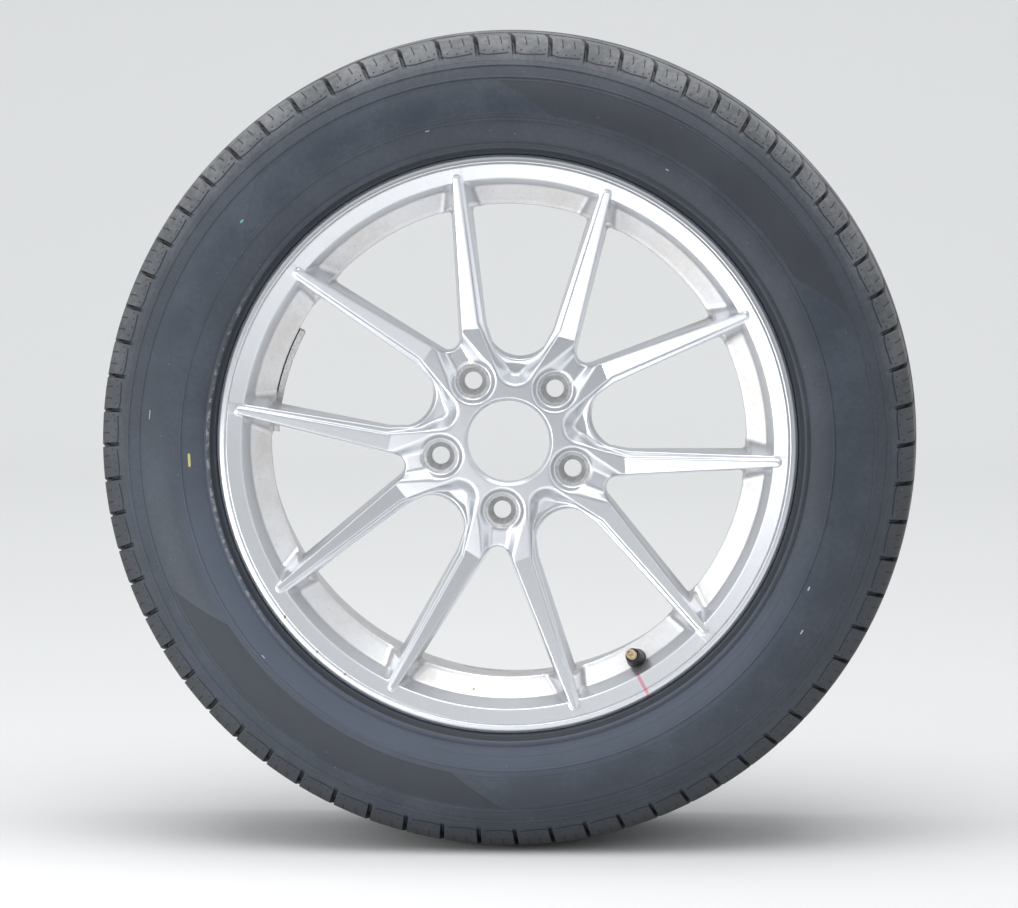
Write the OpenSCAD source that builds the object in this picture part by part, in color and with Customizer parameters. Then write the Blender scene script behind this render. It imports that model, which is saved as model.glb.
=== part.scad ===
// Passenger-car tyre on a ten-spoke cast wheel, with its snap-in valve and a balance weight.
// The wheel turns about Y, its outer face looks along -Y, and the origin is the centre of the rim.

/* [Tyre] */
// Radius of the tread at its crown
tyre_r = 335; // [330:0.5:345]
// Width of the tread from edge to edge
tread_w = 176; // [166:1:186]
// Width of the inflated section
section_w = 226; // [218:1:234]
// Radius at which the section is widest
widest_r = 275; // [268:1:282]
// Fall of the tread from its crown to its edge
crown_drop = 5; // [2:0.5:8]
// Radius at which the shoulder blocks end on the sidewall
block_end_r = 314.5; // [308:0.5:318]
// Thickness of the tread with its belts
tread_t = 15; // [12:0.5:18]
// Thickness of the sidewall
sidewall_t = 7; // [5:0.5:9]
// Depth of the four main grooves
groove_d = 7.5; // [4:0.5:9]
// Width of the main grooves
groove_w = 9; // [6:0.5:11]
// Distance of the inner main grooves from the middle of the tread
groove_in = 18; // [14:1:22]
// Distance of the outer main grooves from the middle of the tread
groove_out = 54; // [48:1:58]
// Number of shoulder blocks on each side
block_count = 68; // [50:1:80]
// Width of the slots between the shoulder blocks
slot_w = 3.4; // [2:0.2:5]
// Depth of the slots between the shoulder blocks
slot_d = 6; // [3:0.5:7]
// Slant of the slots across the tread, in degrees
slot_slant = 9; // [0:1:15]
// Swing of the pitch from block to block, in degrees
pitch_swing = 1.1; // [0:0.1:1.4]
// Height of the raised rings on the sidewall
ring_t = 0.8; // [0.4:0.1:1.5]
// Radius of the upper raised ring on the sidewall
ring_top_r = 308; // [304:0.5:310]
// Radius of the raised ring above the sidewall panels
ring_mid_r = 298.4; // [294:0.5:301]
// Distance of the raised ring below the sidewall panels from the edge of the flange
ring_low_gap = 28.9; // [24:0.1:32]
// Height of the rib that guards the flange
guard_t = 2.4; // [1:0.2:4]
// Distance of that rib from the edge of the flange
guard_gap = 7.4; // [6.5:0.1:10]

/* [Rim] */
// Radius of the bead seats beside the flanges
seat_r = 218.3; // [217:0.1:219]
// Half the width between the flanges
rim_half_w = 88.9; // [84:0.1:94]
// Height of the flanges over the bead seats
flange_h = 17.3; // [16.5:0.1:18]
// Thickness of the flanges along the axis
flange_t = 11.1; // [10:0.1:13]
// Width of the bead seats
seat_w = 19.8; // [18:0.1:21]
// Taper of the bead seats, in degrees
seat_taper = 5; // [3:0.5:6]
// Height of the round humps that hold the beads
hump_h = 0.9; // [0.5:0.1:1.5]
// Depth of the well below the bead seats
well_d = 17.3; // [15:0.1:19]
// Distance of the front of the well from the middle of the rim
well_front = 59.6; // [57:0.1:61]
// Distance of the back of the well from the middle of the rim
well_back = 36; // [30:1:40]
// Length of the cone behind the well
well_cone_l = 24; // [20:1:28]
// Wall of the barrel at the ridge in front of the well
barrel_t = 6.7; // [5:0.1:8]
// Draft of the barrel's inside behind that ridge, in degrees
barrel_draft = 6; // [2:0.5:7]
// Clearance between the tyre's beads and the rim
bead_gap = 0.15; // [0.1:0.05:0.3]
// Width of the flange's front, from its edge to the fine line turned inside it
lip_band = 6.2; // [5:0.1:8]
// Width of the cone between that line and the pockets between the spokes
lip_cone_w = 13.4; // [12:0.1:15]
// Fall of that cone
lip_fall = 4.5; // [3:0.5:6]
// Depth of the pockets' corner below their mouth
pocket_d = 23.5; // [20:0.5:24]
// Draft of the pockets' outer wall, in degrees
pocket_draft = 11.5; // [8:0.5:14]

/* [Hub] */
// Distance of the mounting face from the middle of the rim
offset_et = 50; // [45:1:52]
// Radius of the centre bore
bore_r = 33.55; // [28:0.05:36]
// Height of the front of the hub over the middle of the rim
hub_front = 68; // [66:1:72]
// Radius of the mounting face
mount_face_r = 74; // [72:1:78]
// Chamfer at the front of the centre bore
bore_chamfer = 2.2; // [1:0.1:3]
// Number of wheel bolts, and of spoke pairs
bolt_count = 5; // [5:1:5]
// Radius of the bolt circle
bolt_circle_r = 57.15; // [56:0.05:57.5]
// Radius of the bolt holes
bolt_hole_r = 7.2; // [6:0.1:7.5]
// Length of the straight part of the bolt holes
bolt_hole_len = 3; // [2:0.5:4]
// Largest radius of the tapered bolt seats
bolt_seat_r = 11.5; // [11:0.5:12]
// Half angle of the bolt seats, in degrees
bolt_seat_a = 30; // [30:1:35]
// Radius of the flat ring round the bolt seats
bolt_spot_r = 14.2; // [13.5:0.1:14.6]
// Depth of that ring below the floor of the bolt pockets
bolt_spot_d = 1.5; // [0.5:0.1:2]
// Radius of the bolt pockets at the front of the hub
bolt_pocket_r = 18.4; // [17:0.1:19]
// Angle of the first bolt hole from +X, in degrees
bolt_phase = 48.6; // [0:0.1:72]

/* [Spokes] */
// Radius of the crease where the spokes rise from the hub
knee_r = 94.5; // [92:0.5:98]
// Distance of the spoke tips from the fine line of the lip
tip_in = 7.4; // [5:0.1:9]
// Height of the spoke tips over the cone of the lip
tip_proud = 1.6; // [1:0.1:2.5]
// Depth of the ledge beside the narrow windows
ledge_d = 3.2; // [2:0.1:4]
// Width of the ledge beside the narrow windows at the knee
ledge_w = 4.9; // [3:0.1:6]
// Width of the ledge at the spoke tips
ledge_tip_w = 2.6; // [1.5:0.1:3]
// Slope of the step beside the ledge, in degrees from the axle
step_draft = 12; // [5:1:15]
// Slope of the scoops' inner end, in degrees from the axle
scoop_draft = 42; // [35:1:45]
// Depth of the scoops below the front of the hub
scoop_d = 9.5; // [8:0.5:10]
// Inner end of the scoops at the foot of the narrow windows
scoop_r = 46.5; // [45:0.5:50]
// Inner end of the narrow windows through the wheel
narrow_r = 71.5; // [70:0.5:76]
// Radius of the round foot of the narrow windows
narrow_foot_r = 24; // [20:0.5:25]
// Radius of the round foot of the scoops
scoop_foot_r = 15; // [12:0.5:16]
// Half width of the narrow windows' front edge at the knee
narrow_w = 28.8; // [28:0.1:30]
// Slope of the narrow windows' front edge from their middle
narrow_slope = 0.23; // [0.22:0.001:0.24]
// Inner end of the wide windows through the wheel
wide_r = 87.3; // [85:0.1:90]
// Half width of the wide windows' front edge at the knee
wide_w = 11.3; // [10.5:0.1:12]
// Slope of the wide windows' front edge from their middle
wide_slope = 0.55; // [0.52:0.001:0.57]
// Draft of the wide windows' walls, in degrees
wide_draft = 10; // [4:0.5:11]
// Draft of the narrow windows' walls, in degrees
narrow_draft = 6; // [3:0.5:7]
// Height of the spokes' back at the barrel over the middle of the rim
spoke_back = 59; // [58:0.5:62]
// Draft of the ends of the pockets, where the spokes grow wider on the barrel, in degrees
root_draft = 11; // [6:0.5:13]

/* [Valve] */
// Angle of the valve from +X, in degrees
valve_phase = 300.6; // [298:0.1:303]
// Tilt of the valve towards the axle, in degrees
valve_tilt = 18; // [15:0.5:20]
// Radius of the valve hole
valve_hole_r = 5.75; // [5.7:0.05:5.8]
// Wall left round the valve hole
valve_wall = 3.6; // [3:0.1:4]
// Radius of the seat turned round the valve hole
valve_seat_r = 9.6; // [9.2:0.1:10]
// Length of the rubber over its seat
valve_rubber_l = 24; // [20:0.5:26]
// Radius of the rubber's shoulder over the seat
valve_bulge_r = 8.3; // [7.5:0.1:8.8]
// Radius of the rubber round the brass
valve_neck_r = 5.9; // [5.5:0.1:6.5]
// Length of the bare brass thread
stem_bare_l = 9.5; // [8:0.5:12]
// Outside radius of the brass stem
stem_r = 3.85; // [3.7:0.05:4]
// Pitch of the thread on the brass stem
thread_pitch = 0.8; // [0.7:0.05:1]
// Radius of the bore through the brass stem
stem_bore_r = 2.1; // [2:0.05:2.2]
// Radius of the valve core's plug
plug_r = 2.6; // [2.5:0.05:2.7]
// Stroke of the valve core's pin
pin_stroke = 1.5; // [1:0.1:1.8]

/* [Balance weight] */
// Length of the balance weight along the barrel
weight_l = 88; // [60:1:96]
// Width of the balance weight along the axle
weight_w = 18; // [14:0.5:20]
// Thickness of the balance weight
weight_t = 5; // [3.5:0.1:6]
// Thickness of the tape under the weight
tape_t = 1; // [0.8:0.1:1.6]
// Angle of the middle of the weight from +X, in degrees
weight_phase = 165; // [160:0.5:168]
// Number of equal segments in the weight
weight_count = 7; // [5:1:8]

/* [Hidden] */
$fn = 96;

// Length that cutting solids reach past the surface they cut
over = 2;
// Angle between bolt holes
bolt_step = 360 / bolt_count;
// Outside radius of the flanges
flange_r = seat_r + flange_h;
// Radii of the lip's fine line, of the mouth of the pockets and of the spoke tips
lip_line_r = flange_r - lip_band;
pocket_r = lip_line_r - lip_cone_w;
tip_r = lip_line_r - tip_in;
// Radii of the rings on the lower sidewall
guard_r = flange_r + guard_gap;
ring_low_r = flange_r + ring_low_gap;
// Half the overall width of the rim
rim_front = rim_half_w + flange_t;
// Radius of the flange's curl and of the corner under it
curl_r = 9.5;
corner_r = 6.5;
// Radius of the well on the tyre's side and on the axle's side
well_r = seat_r - well_d;
barrel_r = well_r - barrel_t;

// Points of an arc about c, from angle a to angle b
function arc(c, r, a, b, n) = [for (i = [0:n]) let (t = a + (b - a) * i / n) c + r * [cos(t), sin(t)]];
// Points of a cubic curve with end points p, s and handles q, u, without the first point
function curve(p, q, u, s, n) = [
    for (i = [1:n]) let (t = i / n, k = 1 - t)
        k * k * k * p + 3 * k * k * t * q + 3 * k * t * t * u + t * t * t * s
];
function mirrored(points) = [for (i = [len(points) - 1:-1:0]) [points[i][0], -points[i][1]]];
function mix(a, b, t) = a + (b - a) * t;

// The whole model is drawn with the axle along Z and turned once
module on_axle() {
    rotate([90, 0, 0]) children();
}

module at_bolts(turn = 0) {
    for (i = [0:bolt_count - 1]) {
        rotate([0, 0, bolt_phase + turn + i * bolt_step]) children();
    }
}

// A solid through outlines with the same number of points, each with its height, lowest first
module loft(heights, outlines) {
    n = len(outlines[0]);
    top = len(heights) - 1;
    polyhedron(
        points = [for (k = [0:top], p = outlines[k]) [p[0], p[1], heights[k]]],
        faces = concat(
            [[for (i = [0:n - 1]) i]],
            [[for (i = [n - 1:-1:0]) top * n + i]],
            [for (k = [0:top - 1], i = [0:n - 1]) let (j = (i + 1) % n)
                [k * n + i, k * n + n + i, k * n + n + j, k * n + j]]
        ));
}

// Tyre section, as radius and distance from the middle of the rim

tread_edge = [tyre_r - crown_drop, tread_w / 2];
block_end = [block_end_r, section_w / 2 - 15];
widest = [widest_r, section_w / 2];
bead_exit = [flange_r + 3.4, rim_front + 1.5];
crown_n = 8;

function crown(h, depth = 0) = tyre_r - depth - crown_drop * pow(2 * h / tread_w, 2);

// Half of the outside, from the middle of the tread to the flange
function outside_half() = concat(
    [for (i = [0:crown_n]) let (h = (tread_w / 2 - 3) * i / crown_n) [crown(h), h]],
    curve([crown(tread_w / 2 - 3), tread_w / 2 - 3], tread_edge + [-0.5, 1.5],
          block_end + [8, -4.5], block_end, 6),
    curve(block_end, block_end + [-9, 5.6], widest + [16, 0], widest, 8),
    curve(widest, widest - [14, 0], bead_exit + [8, 7], bead_exit, 8)
);

// Half of the face that sits on the rim, from the flange to the toe of the bead
function bead_half() = concat(
    arc([flange_r - curl_r, rim_half_w + curl_r], curl_r + bead_gap, -14, -90, 6),
    arc([seat_r + corner_r, rim_half_w - corner_r], corner_r - bead_gap, 90, 180, 6),
    [[seat_r + bead_gap - (seat_w - corner_r - 1) * tan(seat_taper), rim_half_w - seat_w + 1]]
);

// Half of the inside, from the toe of the bead to the middle of the tread
function inside_half() = let (
    toe = [seat_r + 3, rim_half_w - seat_w],
    side = widest - [0, sidewall_t],
    shoulder = [tyre_r - crown_drop - tread_t, tread_w / 2 - 14]
) concat(
    [toe],
    curve(toe, toe + [12, 6], side - [22, 1], side, 6),
    curve(side, side + [20, 0], shoulder + [0, 12], shoulder, 6),
    [[crown(0, tread_t), 20]]
);

module wall_ring(r, w, t) {
    // The ring is sunk into the sidewall by as much as it stands proud
    rotate_extrude() for (side = [-1, 1]) {
        h = wall_h(r);
        polygon([[r - w, side * (h - t)], [r - w / 2, side * (h + t)], [r + w / 2, side * (h + t)],
                 [r + w, side * (h - t)]]);
    }
}

// Height of the sidewall at a radius, found on the outline
function wall_h(r) = let (
    p = outside_half(),
    i = [for (k = [crown_n + 2:len(p) - 2]) if (p[k][0] >= r && p[k + 1][0] < r) k][0]
) mix(p[i][1], p[i + 1][1], (p[i][0] - r) / (p[i][0] - p[i + 1][0]));

function pitch_angle(i) = 360 * i / block_count + pitch_swing * sin(3 * 360 * i / block_count);

// Section of the body that the slots don't reach, on one side of the tread. It comes out of the
// sidewall just above the ends of the blocks, so the slots fade away there.
function slot_floor() = let (edge = tread_edge - [slot_d, 2]) concat(
    [[block_end_r - 4 * over, 0], [crown(0, slot_d), 0], [crown(groove_out, slot_d), groove_out]],
    curve([crown(groove_out, slot_d), groove_out], edge, edge + [0, 4], block_end + [1.2, 0.4], 6),
    [block_end + [1.2, 3 * over], block_end + [-2 * over, 3 * over]]
);

// Slots between the shoulder blocks, as thin plates kept off the tyre's body
module shoulder_slots() {
    difference() {
        for (i = [0:block_count - 1], side = [-1, 1]) {
            rotate([0, 0, pitch_angle(i + (side > 0 ? 0 : 0.5))])
                translate([block_end_r, 0, side * (groove_out + tread_w / 4)])
                rotate([side * slot_slant, 0, 0])
                translate([0, -slot_w / 2, -tread_w / 4])
                cube([tyre_r - block_end_r + over, slot_w, tread_w / 2]);
        }
        rotate_extrude() polygon(slot_floor());
        rotate_extrude() polygon(mirrored(slot_floor()));
    }
}

module main_groove(h) {
    taper = groove_w / 6;
    rotate_extrude() polygon([
        [crown(h, groove_d), h - groove_w / 2 + taper], [crown(h, groove_d), h + groove_w / 2 - taper],
        [crown(h, -over), h + groove_w / 2 + over / 4], [crown(h, -over), h - groove_w / 2 - over / 4]
    ]);
}

module tyre() {
    half = concat(outside_half(), bead_half(), inside_half());
    color([0.16, 0.18, 0.21]) on_axle() difference() {
        union() {
            rotate_extrude() polygon(concat(half, mirrored(half)));
            wall_ring(ring_top_r, 1.2, ring_t);
            wall_ring(ring_mid_r, 1.2, ring_t);
            wall_ring(ring_low_r, 1.2, ring_t);
            wall_ring(guard_r, 3.4, guard_t);
        }
        for (side = [-1, 1]) {
            main_groove(side * groove_in);
            main_groove(side * groove_out);
        }
        shoulder_slots();
    }
}

// Wheel section

// Fine line and cone between the flange and the pockets
lip_line = 0.8;
pocket_top = rim_front - 0.4 - lip_fall;
// Bottom corner of the pockets, then the rounded ridge at their inner edge
floor_top = [pocket_r - pocket_d * tan(pocket_draft), pocket_top - pocket_d];
floor_end = [barrel_r + 3.5, well_front + 2.4];
ridge = [barrel_r, well_front - 0.6];
// Point of the pockets' floor, from their corner to the ridge
function floor_at(t) = mix(floor_top, floor_end, t);
// Radius of the barrel's inside behind the ridge
function barrel_at(h) = barrel_r + (ridge[1] - h) * tan(barrel_draft);

function lip_h(r) = mix(rim_front - 0.4, pocket_top, (lip_line_r - r) / (lip_line_r - pocket_r));
// Point of the pockets' outer wall, from their corner to their mouth, and the end of its rounded edge
function wall_at(t) = mix(floor_top, [pocket_r, pocket_top], t);
lip_edge = [pocket_r + 2.8, lip_h(pocket_r + 2.8)];

function seat_points() = [
    [seat_r - (seat_w - corner_r) * tan(seat_taper), rim_half_w - seat_w],
    [seat_r - (seat_w - corner_r) * tan(seat_taper) + hump_h, rim_half_w - seat_w - 2],
    [seat_r - (seat_w - corner_r) * tan(seat_taper) + hump_h, rim_half_w - seat_w - 3.4]
];

// Tyre's side of one flange and its seat, from the lip inwards
function flange_points() = concat(
    arc([flange_r - 2, rim_front - 2], 2, 90, 0, 4),
    arc([flange_r - curl_r, rim_half_w + curl_r], curl_r, 0, -90, 8),
    arc([seat_r + corner_r, rim_half_w - corner_r], corner_r, 90, 180, 6),
    seat_points()
);

module barrel() {
    seat_foot = seat_points()[2];
    tilt_run = seat_foot[0] - 1.6 - well_r;
    rotate_extrude() polygon(concat(
        flange_points(),
        [[seat_foot[0] - 1.6, well_front + tilt_run * tan(valve_tilt)], [well_r, well_front]],
        [[well_r, well_back], [seat_foot[0] - 4, well_back - well_cone_l],
         [seat_foot[0] - 3, seat_w + 9 - rim_half_w]],
        mirrored(flange_points()),
        [[seat_r, -rim_front], [seat_r - 6, -rim_front + 3], [seat_r - 9, -rim_half_w + 5]],
        [[barrel_at(well_back) + 8, well_back - well_cone_l], [barrel_at(well_back), well_back]],
        [ridge],
        curve(ridge, ridge + [0, 1.2], floor_at(1.13), floor_end, 4),
        [floor_at(0.18)],
        curve(floor_at(0.18), floor_top, floor_top, wall_at(0.12), 4),
        [wall_at(0.87)],
        curve(wall_at(0.87), wall_at(1), wall_at(1), lip_edge, 4),
        [[lip_line_r - lip_line / 2, rim_front - 0.4], [lip_line_r, rim_front - 1.2]],
        [[lip_line_r + lip_line / 2, rim_front]]
    ));
}

// Heights of the front and the back of the hub and spokes at a radius
function front_h(r) = r < knee_r ? hub_front
    : mix(hub_front, lip_h(tip_r) + tip_proud, (r - knee_r) / (tip_r - knee_r));
function back_h(r) = r < mount_face_r ? offset_et
    : mix(offset_et, spoke_back, (r - mount_face_r) / (barrel_r - mount_face_r));

// Turned blank of the hub and spokes
module blank() {
    rotate_extrude() polygon([
        [bore_r, offset_et], [mount_face_r, offset_et], [barrel_r + barrel_t / 2, spoke_back],
        wall_at(0) + [2.8, 0.5], wall_at(0.75) + [2.4, 0], [lip_edge[0] + 1.2, lip_edge[1] - 4],
        [tip_r + 1.5, lip_h(tip_r) - 1],
        [tip_r, front_h(tip_r) - 0.6], [tip_r - 1, front_h(tip_r - 1)], [knee_r, hub_front],
        [bore_r + bore_chamfer, hub_front], [bore_r, hub_front - bore_chamfer]
    ]);
}

// Rise of the spokes' front over their length
spoke_rise = (front_h(tip_r) - hub_front) / (tip_r - knee_r);

// Slope of a window's side in a plane across the axle. The walls have draft and the spokes rise,
// so it is less than the slope of the front edge.
function flat_slope(slope, draft) = slope - spoke_rise * tan(draft) / cos(atan(slope));

// Outline of a window in a plane across the axle: a round foot, then two sides that bend at the knee
function window_outline(foot, foot_r, turn, knee_w, slope, n) = let (
    far = tip_r + 3 * over,
    far_w = knee_w + slope * (far - knee_r)
) concat(
    arc([foot + foot_r, 0], foot_r, 90 + turn, 270 - turn, n),
    [[knee_r, -knee_w], [far, -far_w], [far, far_w], [knee_r, knee_w]]
);

window_low = offset_et - 4 * over;
window_high = rim_front + over;
// Height of the floor of the scoops
scoop_h = hub_front - scoop_d;

module narrow_windows() {
    heights = [window_low, offset_et - over / 4, scoop_h, window_high];
    feet = [narrow_r + 4, narrow_r, narrow_r - 8, narrow_r - 10];
    slope = flat_slope(narrow_slope, narrow_draft);
    grow = tan(narrow_draft) / cos(atan(slope));
    at_bolts(bolt_step / 2) loft(heights, [for (k = [0:3])
        window_outline(feet[k], narrow_foot_r, 28, narrow_w + (heights[k] - hub_front) * grow, slope, 14)]);
}

module wide_windows() {
    heights = [window_low, window_high];
    slope = flat_slope(wide_slope, wide_draft);
    a = atan(slope);
    at_bolts() loft(heights, [for (h = heights) let (
        foot = wide_r - (h - offset_et) / 10,
        knee_w = wide_w + (h - hub_front) * tan(wide_draft) / cos(a),
        // The foot's round is tangent to both sides
        foot_r = (knee_w - slope * (knee_r - foot)) / (1 / cos(a) - slope)
    ) window_outline(foot, foot_r, a, knee_w, slope, 10)]);
}

// Outline of a ledge at one height: a round foot, and a step line that bends at the knee. The foot
// slopes up to just over the front of the hub.
scoop_rim = hub_front + over / 4;
function ledge_outline(h) = let (
    foot_in = max(0, scoop_rim - h) * tan(scoop_draft),
    grow = (h - hub_front) * tan(step_draft),
    far = tip_r - 2,
    step = narrow_w + ledge_w + grow,
    far_step = narrow_w + narrow_slope * (far - knee_r) + ledge_tip_w + grow
        - (front_h(far) - hub_front) * tan(step_draft)
) concat(
    arc([scoop_r + foot_in + scoop_foot_r, 0], scoop_foot_r, 118, 242, 10),
    [[knee_r, -step], [far, -far_step], [far, far_step], [knee_r, step]]
);

// Ledges beside the narrow windows, with the scoops at their foot
module ledges() {
    heights = [scoop_h - 2 * over, scoop_rim, window_high];
    intersection() {
        at_bolts(bolt_step / 2) loft(heights, [for (h = heights) ledge_outline(h)]);
        rotate_extrude() polygon([
            [scoop_r - over, scoop_h], [narrow_r - 7, scoop_h - 0.5], [narrow_r + 4, scoop_h + 1.5],
            [knee_r, hub_front - ledge_d], [tip_r, front_h(tip_r) - tip_proud],
            [tip_r, window_high + over], [scoop_r - over, window_high + over]
        ]);
    }
}

// Top of the roots of the spokes, just under the ledges
root_top = lip_h(pocket_r) - 5;

// Windows as plain wedges near the barrel, narrower by the width of the roots on each side
module root_wedges(turn, knee_w, front_slope, draft) {
    heights = [ridge[1] - 2 * over, window_high];
    slope = flat_slope(front_slope, draft);
    near = barrel_r - 5 * over;
    far = tip_r + 3 * over;
    at_bolts(turn) loft(heights, [for (h = heights) let (
        root_w = (root_top - h) * tan(root_draft),
        inset = (root_w - (h - hub_front) * tan(draft)) / cos(atan(slope)),
        near_w = knee_w + slope * (near - knee_r) - inset,
        far_w = knee_w + slope * (far - knee_r) - inset
    ) [[near, -near_w], [far, -far_w], [far, far_w], [near, near_w]]]);
}

// Roots of the spokes on the barrel, which close the ends of the pockets
module roots() {
    difference() {
        rotate_extrude() polygon([
            ridge + [0.7, -0.6], [barrel_r + 3, root_top - 0.7], [pocket_r + over, pocket_top - over / 2],
            wall_at(0) + [3, -3], floor_end + [over, -over / 2]
        ]);
        root_wedges(bolt_step / 2, narrow_w, narrow_slope, narrow_draft);
        root_wedges(0, wide_w, wide_slope, wide_draft);
    }
}

module bolt_holes() {
    seat_l = (bolt_seat_r - bolt_hole_r) / tan(bolt_seat_a);
    spot_h = offset_et + bolt_hole_len + seat_l;
    at_bolts() translate([bolt_circle_r, 0, 0]) {
        translate([0, 0, offset_et - over]) cylinder(r = bolt_hole_r, h = hub_front - offset_et);
        translate([0, 0, offset_et + bolt_hole_len])
            cylinder(r1 = bolt_hole_r, r2 = bolt_seat_r, h = seat_l + 0.001);
        translate([0, 0, spot_h]) cylinder(r = bolt_spot_r, h = over);
        translate([0, 0, spot_h + bolt_spot_d])
            cylinder(r1 = bolt_spot_r + 0.8, r2 = bolt_pocket_r, h = hub_front - spot_h - bolt_spot_d + 0.01);
    }
    // Channels from the bolt pockets out to the wide windows
    at_bolts() loft([spot_h + bolt_spot_d - 0.3, hub_front + 0.3], [
        [[bolt_circle_r + 6, -7.2], [wide_r + 12, -7.2], [wide_r + 12, 7.2], [bolt_circle_r + 6, 7.2]],
        [[bolt_circle_r + 4, -bolt_pocket_r], [wide_r + 12, -wide_w], [wide_r + 12, wide_w],
         [bolt_circle_r + 4, bolt_pocket_r]]
    ]);
}

// Place of the valve: the inside face of its hole, with Z along the valve
valve_foot_r = (seat_points()[2][0] - 1.6 + well_r) / 2;
valve_foot_h = well_front + (valve_foot_r - well_r) * tan(valve_tilt);
module at_valve() {
    rotate([0, 0, valve_phase]) translate([valve_foot_r, 0, valve_foot_h])
        rotate([0, -valve_tilt, 0]) children();
}

module wheel() {
    color([0.86, 0.87, 0.89]) on_axle() difference() {
        union() {
            difference() {
                blank();
                narrow_windows();
                wide_windows();
                ledges();
                bolt_holes();
            }
            barrel();
            roots();
        }
        at_valve() {
            translate([0, 0, -4 * over]) cylinder(r = valve_hole_r, h = 8 * over + valve_wall);
            translate([0, 0, valve_wall]) cylinder(r = valve_seat_r, h = 10 * over);
            translate([0, 0, -10 * over - 0.3]) cylinder(r = valve_seat_r + 1.4, h = 10 * over + 0.6);
        }
    }
}

// Valve, drawn along Z from the inside face of its hole

// Clearances of the rubber in its hole, and of the core in the stem
rubber_gap = 0.05;
core_gap = 0.06;
// Underside of the rubber's flange, and thickness of the flange
foot_z = 0.3;
foot_t = 8.5;
foot_r = 9.6;
rubber_end = valve_wall + valve_rubber_l;
stem_end = rubber_end + stem_bare_l;
stem_start = foot_z - 7;
stem_chamfer = 0.6;
// Core, from its plug at the stem's mouth to the cup on its pin
plug_l = 4.2;
plug_top = stem_end - 0.5;
cone_z = plug_top - plug_l - 1.9;
cone_l = 1.6;
neck_r = 1.55;
core_end = stem_end - 12.5;
core_bore_r = 1.15;
core_floor = core_end + 1;
pin_r = 0.5;
pin_top = stem_end - 0.4;
head_r = 0.8;
head_l = 0.7;
cup_r = 1.75;
cup_t = 1;
seal_t = 0.9;
// Collar under which the spring sits, lower than the key slot by the pin's stroke
key_slot_d = 1.8;
collar_z = plug_top - key_slot_d - 0.8 - pin_stroke;
collar_r = 0.95;
collar_t = 0.7;

module valve_rubber_body() {
    hole = valve_hole_r - rubber_gap;
    seat = valve_wall + rubber_gap;
    under = foot_z - foot_t;
    color([0.13, 0.14, 0.15]) on_axle() at_valve() difference() {
        rotate_extrude() polygon(concat(
            [[stem_r, under], [foot_r - 3.4, under]],
            curve([foot_r - 3.4, under], [foot_r - 1, under + 1], [foot_r - 0.2, foot_z - 4],
                  [foot_r, foot_z - rubber_gap], 5),
            [[hole, foot_z - rubber_gap], [hole, seat], [valve_bulge_r - 0.8, seat]],
            curve([valve_bulge_r - 0.8, seat], [valve_bulge_r + 0.2, valve_wall + 1.2],
                  [valve_bulge_r + 0.2, valve_wall + 4.5], [valve_bulge_r - 0.9, valve_wall + 7], 5),
            [[valve_neck_r + 0.5, rubber_end - 5], [valve_neck_r, rubber_end - 1.2]],
            [[valve_neck_r - 0.9, rubber_end], [stem_r, rubber_end]]
        ));
        translate([0, 0, under - over]) cylinder(r = stem_r, h = rubber_end - under + 2 * over);
    }
}

module valve_stem() {
    color([0.80, 0.66, 0.42]) on_axle() at_valve() difference() {
        union() {
            translate([0, 0, stem_start]) cylinder(r = stem_r, h = stem_end - stem_start - stem_chamfer);
            translate([0, 0, stem_end - stem_chamfer])
                cylinder(r1 = stem_r, r2 = stem_r - stem_chamfer, h = stem_chamfer);
        }
        // Thread as rings of the right pitch and depth
        half = thread_pitch * 0.4;
        for (z = [stem_end - 1.5:-thread_pitch:rubber_end + 0.6]) {
            translate([0, 0, z]) rotate_extrude()
                polygon([[stem_r - thread_pitch / 2, 0], [stem_r + 0.05, half], [stem_r + 0.05, -half]]);
        }
        translate([0, 0, stem_start - over]) cylinder(r = stem_bore_r, h = stem_end - stem_start);
        translate([0, 0, cone_z - cone_l]) cylinder(r1 = stem_bore_r, r2 = plug_r + core_gap, h = cone_l);
        translate([0, 0, cone_z - 0.001]) cylinder(r = plug_r + core_gap, h = stem_end - cone_z + over);
    }
}

module valve_core_housing() {
    neck_z = cone_z - cone_l / 2 - core_gap;
    color([0.84, 0.72, 0.48]) on_axle() at_valve() difference() {
        union() {
            translate([0, 0, plug_top - plug_l]) cylinder(r = plug_r, h = plug_l);
            translate([0, 0, neck_z]) cylinder(r = neck_r, h = plug_top - plug_l - neck_z + 0.01);
            translate([0, 0, core_end]) cylinder(r = stem_bore_r - 0.2, h = neck_z - core_end + 0.01);
        }
        translate([0, 0, core_floor]) cylinder(r = core_bore_r, h = stem_end - core_floor);
        translate([0, 0, core_end - over]) cylinder(r = pin_r + core_gap, h = 2 * over);
        // Slot for the key across the plug
        translate([-plug_r - over, -core_bore_r - 0.15, plug_top - key_slot_d])
            cube([2 * (plug_r + over), 2 * core_bore_r + 0.3, key_slot_d + over]);
    }
}

module valve_core_gasket() {
    color([0.75, 0.25, 0.2]) on_axle() at_valve() difference() {
        translate([0, 0, cone_z - cone_l / 2])
            cylinder(r1 = stem_bore_r + 0.1, r2 = plug_r - 0.15, h = plug_top - plug_l - cone_z + cone_l / 2);
        translate([0, 0, cone_z - cone_l]) cylinder(r = neck_r + core_gap / 2, h = 3 * cone_l);
    }
}

module valve_core_pin() {
    cup_z = core_end - seal_t - cup_t;
    color([0.86, 0.78, 0.58]) on_axle() at_valve() {
        translate([0, 0, cup_z]) cylinder(r = pin_r, h = pin_top - cup_z);
        translate([0, 0, cup_z]) cylinder(r = cup_r, h = cup_t);
        translate([0, 0, collar_z]) cylinder(r = collar_r, h = collar_t);
        translate([0, 0, pin_top - head_l]) cylinder(r = head_r, h = head_l);
    }
}

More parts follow.
